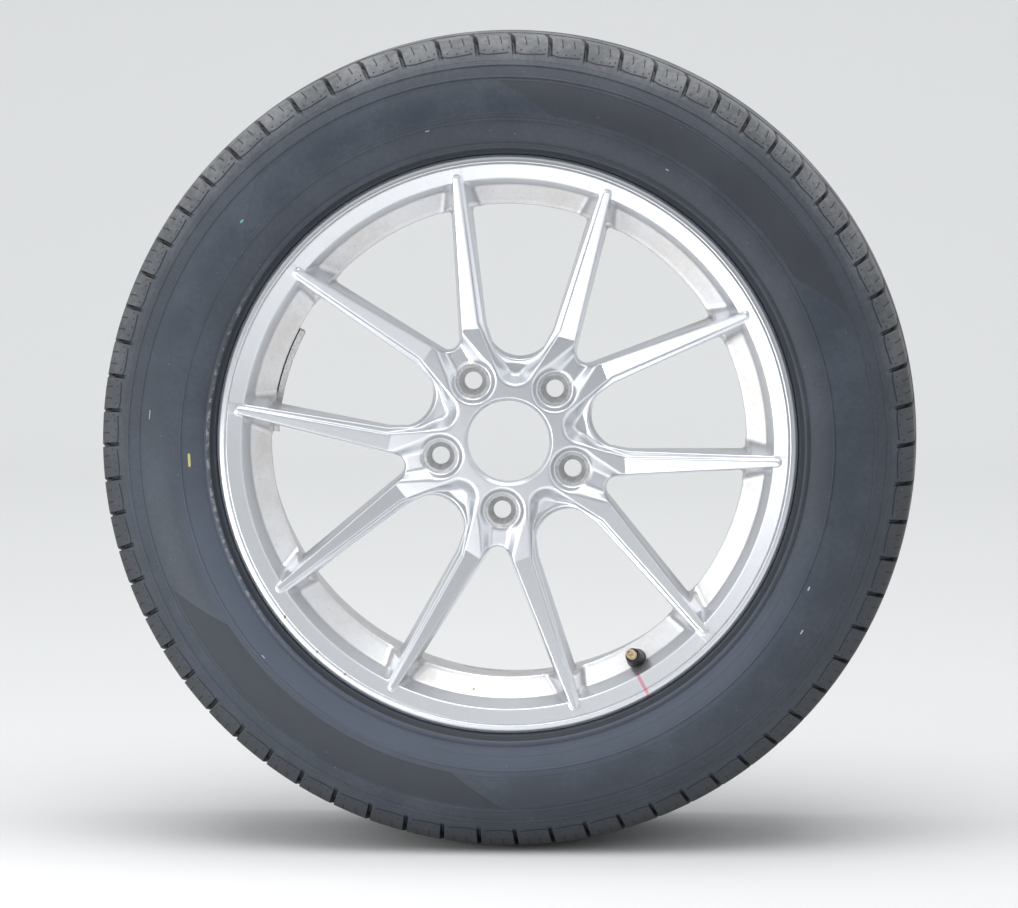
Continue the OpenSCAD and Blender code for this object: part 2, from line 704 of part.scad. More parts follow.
module valve_core_seal() {
    color([0.2, 0.2, 0.2]) on_axle() at_valve() difference() {
        translate([0, 0, core_end - seal_t]) cylinder(r = cup_r - 0.1, h = seal_t);
        translate([0, 0, core_end - 2 * seal_t]) cylinder(r = pin_r, h = 3 * seal_t);
    }
}

// Return spring: a swept wire whose turns follow a helix
module valve_core_spring() {
    wire = 0.13;
    coil = core_bore_r - 0.2 - wire;
    turns = 7;
    low = core_floor + wire;
    high = collar_z - wire;
    steps = turns * 12;
    sides = 6;
    points = [for (i = [0:steps], k = [0:sides - 1]) let (
        a = 360 * turns * i / steps, r = coil + wire * cos(k * 360 / sides)
    ) [r * cos(a), r * sin(a), mix(low, high, i / steps) + wire * sin(k * 360 / sides)]];
    faces = concat(
        [[for (k = [0:sides - 1]) k]],
        [[for (k = [sides - 1:-1:0]) steps * sides + k]],
        [for (i = [0:steps - 1], k = [0:sides - 1]) let (j = (k + 1) % sides)
            [i * sides + k, (i + 1) * sides + k, (i + 1) * sides + j, i * sides + j]]
    );
    color([0.7, 0.7, 0.72]) on_axle() at_valve() polyhedron(points = points, faces = faces, convexity = 10);
}

// Balance weight and its tape on the drafted inside of the barrel, just behind the ridge
weight_h = ridge[1] - 2 - weight_w / 2;
weight_gap = 0.05;

// Strip that lies on the barrel, with its outer face at a distance from the metal
module barrel_strip(gap, t, w, l, bevel) {
    a = l / barrel_at(weight_h) * 180 / PI;
    along = [-sin(barrel_draft), cos(barrel_draft)];
    inward = [-cos(barrel_draft), -sin(barrel_draft)];
    corners = [[0, -w / 2], [0, w / 2], [t - bevel, w / 2], [t, w / 2 - bevel], [t, bevel - w / 2],
               [t - bevel, -w / 2]];
    rotate([0, 0, weight_phase - a / 2]) rotate_extrude(angle = a)
        polygon([for (c = corners) [barrel_at(weight_h), weight_h] + (gap + c[0]) * inward + c[1] * along]);
}

module weight_tape() {
    color([0.1, 0.1, 0.11]) on_axle()
        barrel_strip(weight_gap, tape_t, weight_w - 1, weight_l - 0.6, 0.1);
}

module balance_weight() {
    gap = 2 * weight_gap + tape_t;
    r_in = barrel_at(weight_h) - gap - weight_t;
    seg_a = weight_l / barrel_at(weight_h) * 180 / PI / weight_count;
    color([0.62, 0.61, 0.62]) on_axle() difference() {
        barrel_strip(gap, weight_t, weight_w, weight_l, 0.8);
        // Shallow grooves between the segments on the open face
        for (i = [1:weight_count - 1]) {
            rotate([0, 0, weight_phase + (i - weight_count / 2) * seg_a])
                translate([r_in - 0.5, 0, weight_h]) rotate([0, -barrel_draft, 0])
                rotate([0, 0, 45]) cube([2, 2, 2 * weight_w], center = true);
        }
    }
}

tyre();
wheel();
valve_rubber_body();
valve_stem();
valve_core_housing();
valve_core_gasket();
valve_core_pin();
valve_core_seal();
valve_core_spring();
balance_weight();
weight_tape();
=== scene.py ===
# %% [markdown]
# # A car tyre on its ten-spoke cast wheel
# The object is a used tyre on a light alloy wheel, photographed almost square to its outer face.
# The CAD model gives every piece its place and size. This lesson dresses it: the casting with its rounded
# edges, the moulded rubber with its shoulder blocks, the snap-in valve, the balance weight, and the dirt.
#
# All surfaces are drawn in the plan of the wheel, in millimetres: x and y lie in the plane of the wheel and
# h is the height over the middle of the rim, towards the outer face. One function turns them into the frame.

from functools import partial

import bpy
import numpy as np
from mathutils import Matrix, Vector


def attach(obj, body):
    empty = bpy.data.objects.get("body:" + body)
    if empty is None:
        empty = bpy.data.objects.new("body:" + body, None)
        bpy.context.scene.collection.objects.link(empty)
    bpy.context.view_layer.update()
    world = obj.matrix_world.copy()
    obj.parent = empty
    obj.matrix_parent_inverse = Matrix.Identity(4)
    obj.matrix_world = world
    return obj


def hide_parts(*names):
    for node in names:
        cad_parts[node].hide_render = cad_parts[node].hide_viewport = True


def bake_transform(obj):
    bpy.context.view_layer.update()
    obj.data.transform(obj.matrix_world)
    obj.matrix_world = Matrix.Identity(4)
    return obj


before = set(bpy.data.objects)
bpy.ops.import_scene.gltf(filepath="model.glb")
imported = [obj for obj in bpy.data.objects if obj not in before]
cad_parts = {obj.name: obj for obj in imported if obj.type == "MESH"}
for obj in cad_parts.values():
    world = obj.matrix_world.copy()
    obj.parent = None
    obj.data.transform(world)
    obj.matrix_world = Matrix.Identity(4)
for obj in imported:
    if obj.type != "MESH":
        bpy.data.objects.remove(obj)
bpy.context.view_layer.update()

# %% [markdown]
# ## Sizes
# These are the sizes of the CAD model, in millimetres. The tyre is a 215/55 R 17 and the rim is 7 inches wide.

# %% Sizes
TYRE_R, TREAD_W, SECTION_W, WIDEST_R = 335.0, 176.0, 226.0, 275.0
CROWN_DROP, BLOCK_END_R, TREAD_T, SIDEWALL_T = 5.0, 314.5, 15.0, 7.0
GROOVE_D, GROOVE_W, GROOVES = 7.5, 9.0, (18.0, 54.0)
BLOCKS, SLOT_D, SLOT_SLANT, SWING = 68, 6.0, 9.0, 1.1
RINGS = ((308.0, 1.2, 0.8), (298.4, 1.2, 0.8), (264.5, 1.2, 0.8), (243.0, 3.4, 2.4))

SEAT_R, RIM_HALF, FLANGE_H, FLANGE_T, SEAT_W, SEAT_TAPER = 218.3, 88.9, 17.3, 11.1, 19.8, 5.0
FLANGE_R, RIM_FRONT, CURL_R, CORNER_R = SEAT_R + FLANGE_H, RIM_HALF + FLANGE_T, 9.5, 6.5
WELL_R, BARREL_R, WELL_FRONT, WELL_BACK = SEAT_R - 17.3, SEAT_R - 24.0, 59.6, 36.0
LINE_R, POCKET_R = FLANGE_R - 6.2, FLANGE_R - 19.6
POCKET_TOP = RIM_FRONT - 4.9
TIP_R, TIP_PROUD = LINE_R - 7.4, 1.6
POCKET_D, POCKET_DRAFT, ROOT_DRAFT, BARREL_DRAFT = 23.5, 11.5, 11.0, 6.0

BACK, HUB_FRONT, BORE_R, MOUNT_R, SPOKE_BACK = 50.0, 68.0, 33.55, 74.0, 59.0
BOLT_CIRCLE, BOLT_PHASE, BOLT_STEP = 57.15, 48.6, 72.0
BOLT_R, SEAT_TOP_R, SPOT_R, SPOT_H, POCKET_H, MOUTH_R = 7.2, 11.5, 14.2, 60.45, 61.95, 18.4
KNEE_R, LEDGE_D, LEDGE_W, LEDGE_TIP_W = 94.5, 3.2, 4.9, 2.6
NARROW_W, NARROW_SLOPE, NARROW_DRAFT = 28.8, 0.23, 6.0
WIDE_W, WIDE_SLOPE, WIDE_DRAFT, SPOKE_DRAFT, STEP_DRAFT, SCOOP_DRAFT = 11.3, 0.55, 10.0, 5.0, 12.0, 42.0

rad = np.radians


def arc(cx, cy, r, a, b, n):
    """n + 1 points on a circle of radius r about (cx, cy), from angle a to angle b in degrees."""
    t = rad(np.linspace(a, b, n + 1))
    return np.column_stack([cx + r * np.cos(t), cy + r * np.sin(t)])


def curve(p, q, u, s, n):
    """n + 1 points of a cubic: each end point and handle weighted by its Bernstein polynomial of t."""
    t = np.linspace(0, 1, n + 1)[:, None]
    k = 1 - t
    p, q, u, s = (np.asarray(v, float) for v in (p, q, u, s))
    return k**3 * p + 3 * k * k * t * q + 3 * k * t * t * u + t**3 * s


def lip_h(r):
    """Height of the cone between the pockets and the fine line of the lip, a straight line in r."""
    return POCKET_TOP + (RIM_FRONT - 0.4 - POCKET_TOP) * (r - POCKET_R) / (LINE_R - POCKET_R)


# %% [markdown]
# ## Meshes
# Each piece is a grid of points. The corner normals come from the formula or from the faces weighted by
# their area, so that a narrow bevel takes the turn of the light and the wide faces beside it stay flat.

# %% Mesh helpers
PIECES = {}


def shown(name, data):
    """A new object that the scene shows."""
    made = bpy.data.objects.new(name, data)
    bpy.context.scene.collection.objects.link(made)
    return made


def grid_faces(rows, cols, wrap_rows=False, wrap_cols=True):
    """Faces of a grid numbered row by row: point (i, j) joins (i + 1, j), (i + 1, j + 1) and (i, j + 1)."""
    i = np.arange(rows if wrap_rows else rows - 1)
    j = np.arange(cols if wrap_cols else cols - 1)
    a, b = np.meshgrid(i, j, indexing="ij")
    a1, b1 = (a + 1) % rows, (b + 1) % cols
    return np.stack([a * cols + b, a1 * cols + b, a1 * cols + b1, a * cols + b1], axis=-1).reshape(-1, 4)


def face_normals(points, faces):
    """Half the cross product of a face's diagonals, so its length is the area."""
    p = points[faces]
    return 0.5 * np.cross(p[:, 2] - p[:, 0], p[:, 3] - p[:, 1])


def corner_normals(points, faces):
    """Sum of the normals of the faces round each point, each weighted by the square of its area."""
    n = face_normals(points, faces)
    n *= np.linalg.norm(n, axis=1, keepdims=True)
    total = np.zeros_like(points)
    for k in range(faces.shape[1]):
        for axis in range(3):
            total[:, axis] += np.bincount(faces[:, k], n[:, axis], len(points))
    return total / np.maximum(np.linalg.norm(total, axis=1, keepdims=True), 1e-12)


def to_frame(v):
    """Plan x, y and height h in mm become x, -h and z of the frame."""
    return np.column_stack([v[:, 0], -v[:, 2], v[:, 1]])


def add_piece(name, points, faces, material, normals=None, uv=None, shades=None):
    """A mesh object from points in the plan. Faces that look inwards as a whole are turned round."""
    volume = (points[faces].mean(1) * face_normals(points, faces)).sum()
    if normals is None:
        normals = corner_normals(points, faces) * (1 if volume > 0 else -1)
        if volume < 0:
            faces = faces[:, ::-1]
            uv = None if uv is None else uv[:, ::-1]
    mesh = bpy.data.meshes.new(name)
    mesh.vertices.add(len(points))
    mesh.vertices.foreach_set("co", (to_frame(points) / 1000).astype(np.float32).ravel())
    mesh.loops.add(faces.size)
    mesh.loops.foreach_set("vertex_index", faces.astype(np.int32).ravel())
    mesh.polygons.add(len(faces))
    mesh.polygons.foreach_set("loop_start", np.arange(0, faces.size, faces.shape[1], dtype=np.int32))
    mesh.update(calc_edges=True)
    mesh.shade_smooth()
    if uv is not None:
        mesh.uv_layers.new(name="UVMap").data.foreach_set("uv", uv.astype(np.float32).ravel())
    for key, value in (shades or {}).items():
        mesh.attributes.new(key, "FLOAT", "POINT").data.foreach_set("value", value.astype(np.float32))
    mesh.normals_split_custom_set_from_vertices(to_frame(normals))
    mesh.materials.append(material)
    piece = shown(name, mesh)
    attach(piece, "wheel_assembly")
    PIECES[name] = piece
    print("%s: %d points, %d faces" % (name, len(points), len(faces)))
    return piece


def turned(profile, n, bevel=0.0):
    """A closed profile of (r, h) turned about the axle: x = r cos a, y = r sin a, n steps round.
    Each corner becomes two points, bevel mm before and after it."""
    p = np.asarray(profile, float)
    if bevel:
        to_next = np.roll(p, -1, axis=0) - p
        length = np.linalg.norm(to_next, axis=1, keepdims=True)
        ahead = p + to_next * np.minimum(bevel / length, 0.3)
        behind = np.roll(p + to_next * (1 - np.minimum(bevel / length, 0.3)), 1, axis=0)
        p = np.stack([behind, ahead], axis=1).reshape(-1, 2)
    a = np.linspace(0, 2 * np.pi, n, endpoint=False)
    points = np.stack([p[:, :1] * np.cos(a), p[:, :1] * np.sin(a), np.repeat(p[:, 1:], n, axis=1)], axis=-1)
    return points.reshape(-1, 3), grid_faces(len(p), n, wrap_rows=True)


def at_angle(points, degrees):
    """Points turned about the axle."""
    c, s = np.cos(rad(degrees)), np.sin(rad(degrees))
    x, y, h = points.T
    return np.column_stack([x * c - y * s, x * s + y * c, h])


# %% [markdown]
# ## Shader helpers
# Every material is made of nodes. Effects that several materials share, such as grime with painted shade and
# fine specks, are node groups, which put out a mask or a height and leave colour and shine to the material.

# %% Shader helpers
def node(tree, kind, **inputs):
    """A node with some inputs set by name, or by number as I0 and I1. Lower case names are properties."""
    n = tree.nodes.new("ShaderNode" + kind)
    for key, value in sorted(inputs.items(), key=lambda item: item[0][0].isupper()):
        if key[0].islower():
            setattr(n, key, value)
        else:
            link(value, n.inputs[int(key[1:]) if key[1:].isdigit() else key.replace("_", " ")])
    return n


def link(value, socket):
    """Feed an input with a socket or set it to a value."""
    if isinstance(value, bpy.types.NodeSocket):
        socket.id_data.links.new(value, socket)
    else:
        socket.default_value = value


def math(operation, *values):
    """A Math node in the tree of the first value that is a socket."""
    tree = next(v.id_data for v in values if isinstance(v, bpy.types.NodeSocket))
    return node(tree, "Math", operation=operation, **{"I%d" % k: v for k, v in enumerate(values)}).outputs[0]


def chain(operation, first, *others):
    """The operation on the first two values, then on its result and the third, and so on."""
    for other in others:
        first = math(operation, first, other)
    return first


plus, minus, times = (partial(chain, operation) for operation in ("ADD", "SUBTRACT", "MULTIPLY"))
most, least = partial(chain, "MAXIMUM"), partial(chain, "MINIMUM")


def reach(a, b):
    """Square root of a squared plus b squared."""
    return math("SQRT", plus(times(a, a), times(b, b)))


def off(value, middle):
    """How far a value is from the middle, on either side."""
    return math("ABSOLUTE", minus(value, middle))


def fade(value, low, high, out_low=0.0, out_high=1.0):
    """Goes smoothly from out_low, where value is low, to out_high, where value is high."""
    return node(value.id_data, "MapRange", interpolation_type="SMOOTHSTEP", Value=value, From_Min=low, From_Max=high,
                To_Min=out_low, To_Max=out_high).outputs[0]


def mix(share, a, b):
    """Colour a where share is 0 and colour b where share is 1."""
    n = node(share.id_data, "Mix", data_type="RGBA")
    for value, place in ((share, 0), (a, 6), (b, 7)):
        link(value, n.inputs[place])
    return n.outputs[2]


def noise(place, scale, detail=3.0, roughness=0.55):
    return node(place.id_data, "TexNoise", Vector=place, Scale=scale, Detail=detail, Roughness=roughness).outputs[0]


def split(place):
    """The x, y and z of a vector."""
    return node(place.id_data, "SeparateXYZ", Vector=place).outputs


def group(name, inputs, outputs, build):
    """A node group with a place and float inputs (with their defaults) and float outputs."""
    tree = bpy.data.node_groups.new(name, "ShaderNodeTree")
    for key, value in inputs.items():
        kind = "NodeSocketVector" if key == "Place" else "NodeSocketFloat"
        socket = tree.interface.new_socket(key, in_out="INPUT", socket_type=kind)
        if kind == "NodeSocketFloat":
            socket.default_value = value
    for key in outputs:
        tree.interface.new_socket(key, in_out="OUTPUT", socket_type="NodeSocketFloat")
    start, end = tree.nodes.new("NodeGroupInput"), tree.nodes.new("NodeGroupOutput")
    for key, value in zip(outputs, build(start.outputs)):
        link(value, end.inputs[key])
    return tree


def use(made, **inputs):
    """The outputs of a node group, in the tree of the first input that is a socket."""
    tree = next(v.id_data for v in inputs.values() if isinstance(v, bpy.types.NodeSocket))
    n = tree.nodes.new("ShaderNodeGroup")
    n.node_tree = made
    for key, value in inputs.items():
        link(value, n.inputs[key])
    return n.outputs


def grey(v, tint=(1.0, 1.0, 1.0)):
    return (v * tint[0], v * tint[1], v * tint[2], 1.0)


def material(name, **inputs):
    """A material, its Principled shader and the object's own coordinates. Values set here stand on the
    shader's own sockets."""
    m = bpy.data.materials.new(name)
    m.use_nodes = True
    shader = m.node_tree.nodes["Principled BSDF"]
    feed(shader, **inputs)
    return m, shader, node(m.node_tree, "TexCoord").outputs["Object"]


def feed(shader, **inputs):
    for key, value in inputs.items():
        link(value, shader.inputs[key.replace("_", " ")])


def relief(height, distance, strength=1.0):
    return node(height.id_data, "Bump", Strength=strength, Distance=distance, Height=height).outputs[0]


def build_specks(given):
    """Small spots: inside a cell's share of the radius round its point, for a share of the cells."""
    tree = given["Place"].id_data
    cells = node(tree, "TexVoronoi", Vector=given["Place"], Scale=given["Scale"])
    spot = math("LESS_THAN", cells.outputs["Distance"], given["Size"])
    pick = node(tree, "SeparateColor", Color=cells.outputs["Color"]).outputs[0]
    return [times(spot, math("LESS_THAN", pick, given["Share"]))]


def build_grime_and_shade(given):
    """Dust: a broad cloud that a finer one breaks up, and dust with painted shade that is stronger where the form is
    hollow.
    """
    broad = noise(given["Place"], 24.0, 4.0)
    fine = noise(given["Place"], 260.0, 5.0, 0.7)
    cloud = fade(plus(times(broad, 0.6), times(fine, 0.5)), 0.42, 0.78)
    return [cloud, times(fade(given["Hollow"], 0.25, 0.95), plus(0.45, cloud))]


def build_stroke(given):
    """How near a point is to a straight stroke in the plan, from 1 on it to 0 beyond its half width.
    The point's share along the stroke is held between 0 and 1, and the rest is its distance."""
    x, _, z = split(given["Place"])
    dx, dz = minus(x, given["X"]), minus(z, given["Z"])
    length = plus(math("POWER", given["DX"], 2.0), math("POWER", given["DZ"], 2.0))
    dot = plus(times(dx, given["DX"]), times(dz, given["DZ"]))
    along = node(x.id_data, "Math", operation="DIVIDE", use_clamp=True, I0=dot, I1=most(length, 1e-9)).outputs[0]
    away = reach(minus(dx, times(along, given["DX"])), minus(dz, times(along, given["DZ"])))
    return [fade(away, given["Half"], times(given["Half"], 0.6))]


SPECKS = group("specks", {"Place": None, "Scale": 300.0, "Size": 0.2, "Share": 0.2}, ["Mask"], build_specks)
GRIME_AND_SHADE = group("grime_and_shade", {"Place": None, "Hollow": 0.0}, ["Cloud", "Corners"], build_grime_and_shade)
STROKE = group("stroke", {"Place": None, "X": 0.0, "Z": 0.0, "DX": 0.0, "DZ": 0.0, "Half": 0.001}, ["Mask"],
               build_stroke)


def stroke(place, x, z, dx, dz, half):
    """A stroke with its start, run and half width given in mm."""
    return use(STROKE, Place=place, X=x / 1000, Z=z / 1000, DX=dx / 1000, DZ=dz / 1000, Half=half / 1000)[0]


# %% [markdown]
# ## Silver paint
# The casting is sprayed silver under a clear coat. Road film dulls the pockets, brake dust and painted shade darken
# the corners, and a few scuffs show on the spokes and the hub, with rust specks on the flange.

# %% Wheel paint
# Marks on the wheel: start and run in mm, half width, share and colour. A pink line with its dot and a red
# fleck, then rust specks on the rim and in a pocket, then scuffs on spokes and hub
PINK, RED = (0.72, 0.22, 0.30, 1), (0.42, 0.03, 0.04, 1)
RUST, SCUFF = (0.16, 0.06, 0.03, 1), (0.30, 0.31, 0.34, 1)
PAINT_MARKS = (
    (106.7, -188.0, 7.7, -13.7, 1.7, 0.75, PINK), (115.2, -204.9, 0, 0, 1.6, 0.75, PINK),
    (116.0, -208.4, 0, 0, 0.9, 0.9, RED), (-181.2, -141.6, 0.6, 1.4, 0.9, 0.8, RUST),
    (-155.6, -169.8, 1.2, 0.6, 0.8, 0.8, RUST), (-132.7, -188.0, 0.8, 0.2, 0.9, 0.7, RUST),
    (-28.7, -204.0, 0.5, 0.2, 1.1, 0.8, RUST), (-97.0, 148.0, 3.0, 9.0, 0.35, 0.35, SCUFF),
    (62.0, 151.0, -2.0, 6.0, 0.3, 0.35, SCUFF), (-31.0, -38.0, 7.0, 2.0, 0.35, 0.4, SCUFF),
    (22.0, 45.0, 5.0, -1.5, 0.3, 0.35, SCUFF))
# Black lines in the barrel: middle and half length in degrees. They lie this deep behind the rim's middle, in m
DARK_LINES, DARK_LINES_DEPTH = ((-96.7, 5.2), (-82.5, 3.0)), 0.072


def paint_material():
    m, shader, place = material("silver_paint", Metallic=0.85, Roughness=0.32, Coat_Weight=0.15, Coat_Roughness=0.18)
    x, y, z = split(place)
    radius = reach(x, z)
    hollow = node(m.node_tree, "Attribute", attribute_name="hollow").outputs["Fac"]
    cloud, corners = use(GRIME_AND_SHADE, Place=place, Hollow=hollow)
    flake = noise(place, 2600.0, 1.0)
    base = mix(fade(flake, 0.3, 0.7), grey(0.66, (0.955, 0.98, 1.03)), grey(0.73, (0.965, 0.985, 1.02)))
    # A brown film deep in the pockets and on the barrel, and grey dirt with painted shade in the corners
    inside = times(fade(y, -0.078, -0.068), fade(radius, 0.165, 0.185), fade(radius, 0.2155, 0.213))
    film = times(inside, plus(0.12, times(cloud, 0.38)))
    base = mix(film, base, (0.50, 0.43, 0.36, 1))
    base = mix(times(corners, 0.5), base, (0.28, 0.27, 0.28, 1))
    # Brown dirt with painted shade: inside, the hollows of the upper half darken to a dark brown
    brown = times(corners, inside, fade(z, -0.02, 0.10), 0.8)
    base = mix(brown, base, (0.10, 0.06, 0.04, 1))
    dots = use(SPECKS, Place=place, Scale=230.0, Size=0.11, Share=0.16)[0]
    base = mix(times(dots, inside, 0.6), base, (0.16, 0.13, 0.11, 1))
    # Black lines deep in the barrel at its foot
    turn = math("DEGREES", math("ARCTAN2", z, x))
    ends = most(*(fade(off(turn, middle), half + 0.2, half - 0.2) for middle, half in DARK_LINES))
    dark_lines = times(fade(off(y, DARK_LINES_DEPTH), 0.0025, 0.0015), ends, fade(noise(place, 220.0, 3.0), 0.35, 0.45), 0.9)
    base = mix(dark_lines, base, (0.02, 0.02, 0.02, 1))
    on_face = fade(y, -0.06, -0.064)
    for *line, share, colour in PAINT_MARKS:
        base = mix(times(stroke(place, *line), on_face, share), base, colour)
    rough = plus(times(film, 0.25), 0.32, times(corners, 0.2))
    feed(shader, Base_Color=base, Roughness=rough, Normal=relief(noise(place, 900.0, 2.0), 0.00004, 0.35))
    return m


def seat_material():
    """Machined bolt seats, worn and oxidised grey."""
    m, shader, place = material("bolt_seat", Metallic=0.75, Roughness=0.42)
    cloud = fade(noise(place, 420.0, 4.0, 0.7), 0.3, 0.7)
    feed(shader, Base_Color=mix(cloud, grey(0.40), grey(0.56, (1.0, 1.0, 1.02))),
         Normal=relief(noise(place, 1500.0, 2.0), 0.0001, 0.5))
    return m


PAINT = paint_material()
SEAT = seat_material()

# %% [markdown]
# ## The casting
# A real wheel like this is cast in one piece with drafted walls and a radius on every edge. Here it is a
# field: a number at each point that is below zero inside the metal. Plane faces, window walls and turned
# walls are joined by a smooth maximum, which leaves a radius where they meet, and a smooth minimum, which
# leaves a fillet. The five sectors are alike, so one is computed and turned four times.

# %% Field of the casting
TIP_RISE = lip_h(TIP_R) + TIP_PROUD - HUB_FRONT
RISE = TIP_RISE / (TIP_R - KNEE_R)
# The spokes rise beyond a straight crease, square to a line at this angle from the middle of a wide window
CREASE_A, CREASE_Q, CREASE_END = rad(26.7), 94.2, 220.8
FACE_RISE = TIP_RISE / (CREASE_END - CREASE_Q)


def flat_slope(slope, draft):
    return slope - RISE * np.tan(rad(draft)) / np.cos(np.arctan(slope))


def smax(a, b, k):
    """The larger of two fields, plus a bump k / 4 high where they are equal that ends where they differ by k."""
    near = np.clip(1 - np.abs(a - b) / k, 0, 1)
    return np.maximum(a, b) + near * near * k / 4


def smin(a, b, k):
    return -smax(-a, -b, k)


def round_max(a, b, r):
    """The larger of two fields with a true radius r where they meet: the distance from the centre of a circle
    that both touch, which is what counts where both are less than r below zero."""
    return np.minimum(np.maximum(a, b), -r) + np.hypot(np.maximum(a + r, 0), np.maximum(b + r, 0))


def to_outline(x, y, outline):
    """Distance from points to a closed outline, below zero inside: the least distance to its edges, and
    the sign from how many edges a ray to the right of the point crosses."""
    x, y = np.broadcast_arrays(x, y)
    best, inside = np.full(x.shape, 1e9), np.zeros(x.shape, bool)
    for (ax, ay), (bx, by) in zip(outline, np.roll(outline, -1, axis=0)):
        ex, ey = bx - ax, by - ay
        t = np.clip(((x - ax) * ex + (y - ay) * ey) / (ex * ex + ey * ey), 0, 1)
        best = np.minimum(best, (x - ax - t * ex) ** 2 + (y - ay - t * ey) ** 2)
        if ey:
            inside ^= ((ay > y) != (by > y)) & (x < ax + (y - ay) * ex / ey)
    return np.where(inside, -1, 1) * np.sqrt(best)


FAR = TIP_R + 8


def narrow_outline():
    w = NARROW_W + flat_slope(NARROW_SLOPE, NARROW_DRAFT) * (FAR - KNEE_R)
    end = arc(87.2, 0, 24, 118, 242, 20)
    return np.vstack([end, [[KNEE_R, -NARROW_W], [FAR, -w], [FAR, w], [KNEE_R, NARROW_W]]])


def wide_outline():
    s, foot = flat_slope(WIDE_SLOPE, WIDE_DRAFT), 85.5
    a = np.arctan(s)
    r = (WIDE_W - s * (KNEE_R - foot)) / (1 / np.cos(a) - s)
    w = WIDE_W + s * (FAR - KNEE_R)
    end = arc(foot + r, 0, r, 90 + np.degrees(a), 270 - np.degrees(a), 16)
    return np.vstack([end, [[FAR, -w], [FAR, w]]])


def ledge_outline():
    far, step = TIP_R - 2, NARROW_W + LEDGE_W
    w = NARROW_W + NARROW_SLOPE * (far - KNEE_R) + LEDGE_TIP_W - TIP_RISE * np.tan(rad(STEP_DRAFT))
    return np.vstack([arc(61.5, 0, 15, 118, 242, 16), [[KNEE_R, -step], [far, -w], [far, w], [KNEE_R, step]]])


# Corner of the pockets, their floor's inner end, and the ridge behind it
FLOOR_TOP = np.array([POCKET_R - POCKET_D * np.tan(rad(POCKET_DRAFT)), POCKET_TOP - POCKET_D])
FLOOR_END, RIDGE = np.array([BARREL_R + 3.5, WELL_FRONT + 2.4]), np.array([BARREL_R, WELL_FRONT - 0.6])
ROOT_H = POCKET_TOP - 5
OUTLINES = dict(narrow=narrow_outline(), wide=wide_outline(), ledge=ledge_outline())


def floor_at(t):
    return FLOOR_TOP + (FLOOR_END - FLOOR_TOP) * t


def wall_at(t):
    return FLOOR_TOP + (np.array([POCKET_R, POCKET_TOP]) - FLOOR_TOP) * t


def barrel_at(h):
    """Radius of the barrel's inside behind the ridge, a straight line in h."""
    return BARREL_R + (RIDGE[1] - h) * np.tan(rad(BARREL_DRAFT))


# Section of the barrel and the lip from the axle's side, and of the roots that close the pockets' ends
LIP_EDGE = np.array([POCKET_R + 2.8, lip_h(POCKET_R + 2.8)])
WALL = np.vstack([
    [[barrel_at(WELL_BACK - 6), WELL_BACK - 6]], curve(RIDGE, RIDGE + [0, 1.2], floor_at(1.13), FLOOR_END, 6),
    curve(floor_at(0.18), FLOOR_TOP, FLOOR_TOP, wall_at(0.12), 6),
    curve(wall_at(0.87), wall_at(1), wall_at(1), LIP_EDGE, 6),
    [[LINE_R + 1, lip_h(LINE_R + 1)], [LINE_R + 1, 93], [SEAT_R + 1.2, 90], [SEAT_R - 2, 84],
     [FLOOR_TOP[0] + 3.3, 68.3], [WELL_R - 1.2, 60.9], [WELL_R - 1.2, WELL_BACK - 6]]])
ROOTS = np.array([RIDGE + [0.7, -0.6], [BARREL_R + 3, ROOT_H - 0.7], [POCKET_R + 2, POCKET_TOP - 1],
                  FLOOR_TOP + [3, -3], FLOOR_END + [2, -1]])


def plan_fields(x, y):
    """What depends on the plan alone. A sector is folded about its middle, on a bolt, where y is zero."""
    r = np.hypot(x, y)
    a = np.abs(np.arctan2(y, x))
    a = np.where(a > rad(36), rad(72) - a, a)
    xw, yw, xn, yn = r * np.cos(a), r * np.sin(a), r * np.cos(rad(36) - a), r * np.sin(rad(36) - a)
    out = {k: to_outline(xw if k == "wide" else xn, yw if k == "wide" else yn, v) for k, v in OUTLINES.items()}
    q = xw * np.cos(CREASE_A) + yw * np.sin(CREASE_A)
    out.update(r=r, xn=xn, xw=xw, yw=yw, q=q, bolt=np.hypot(xw - BOLT_CIRCLE, yw))
    return out


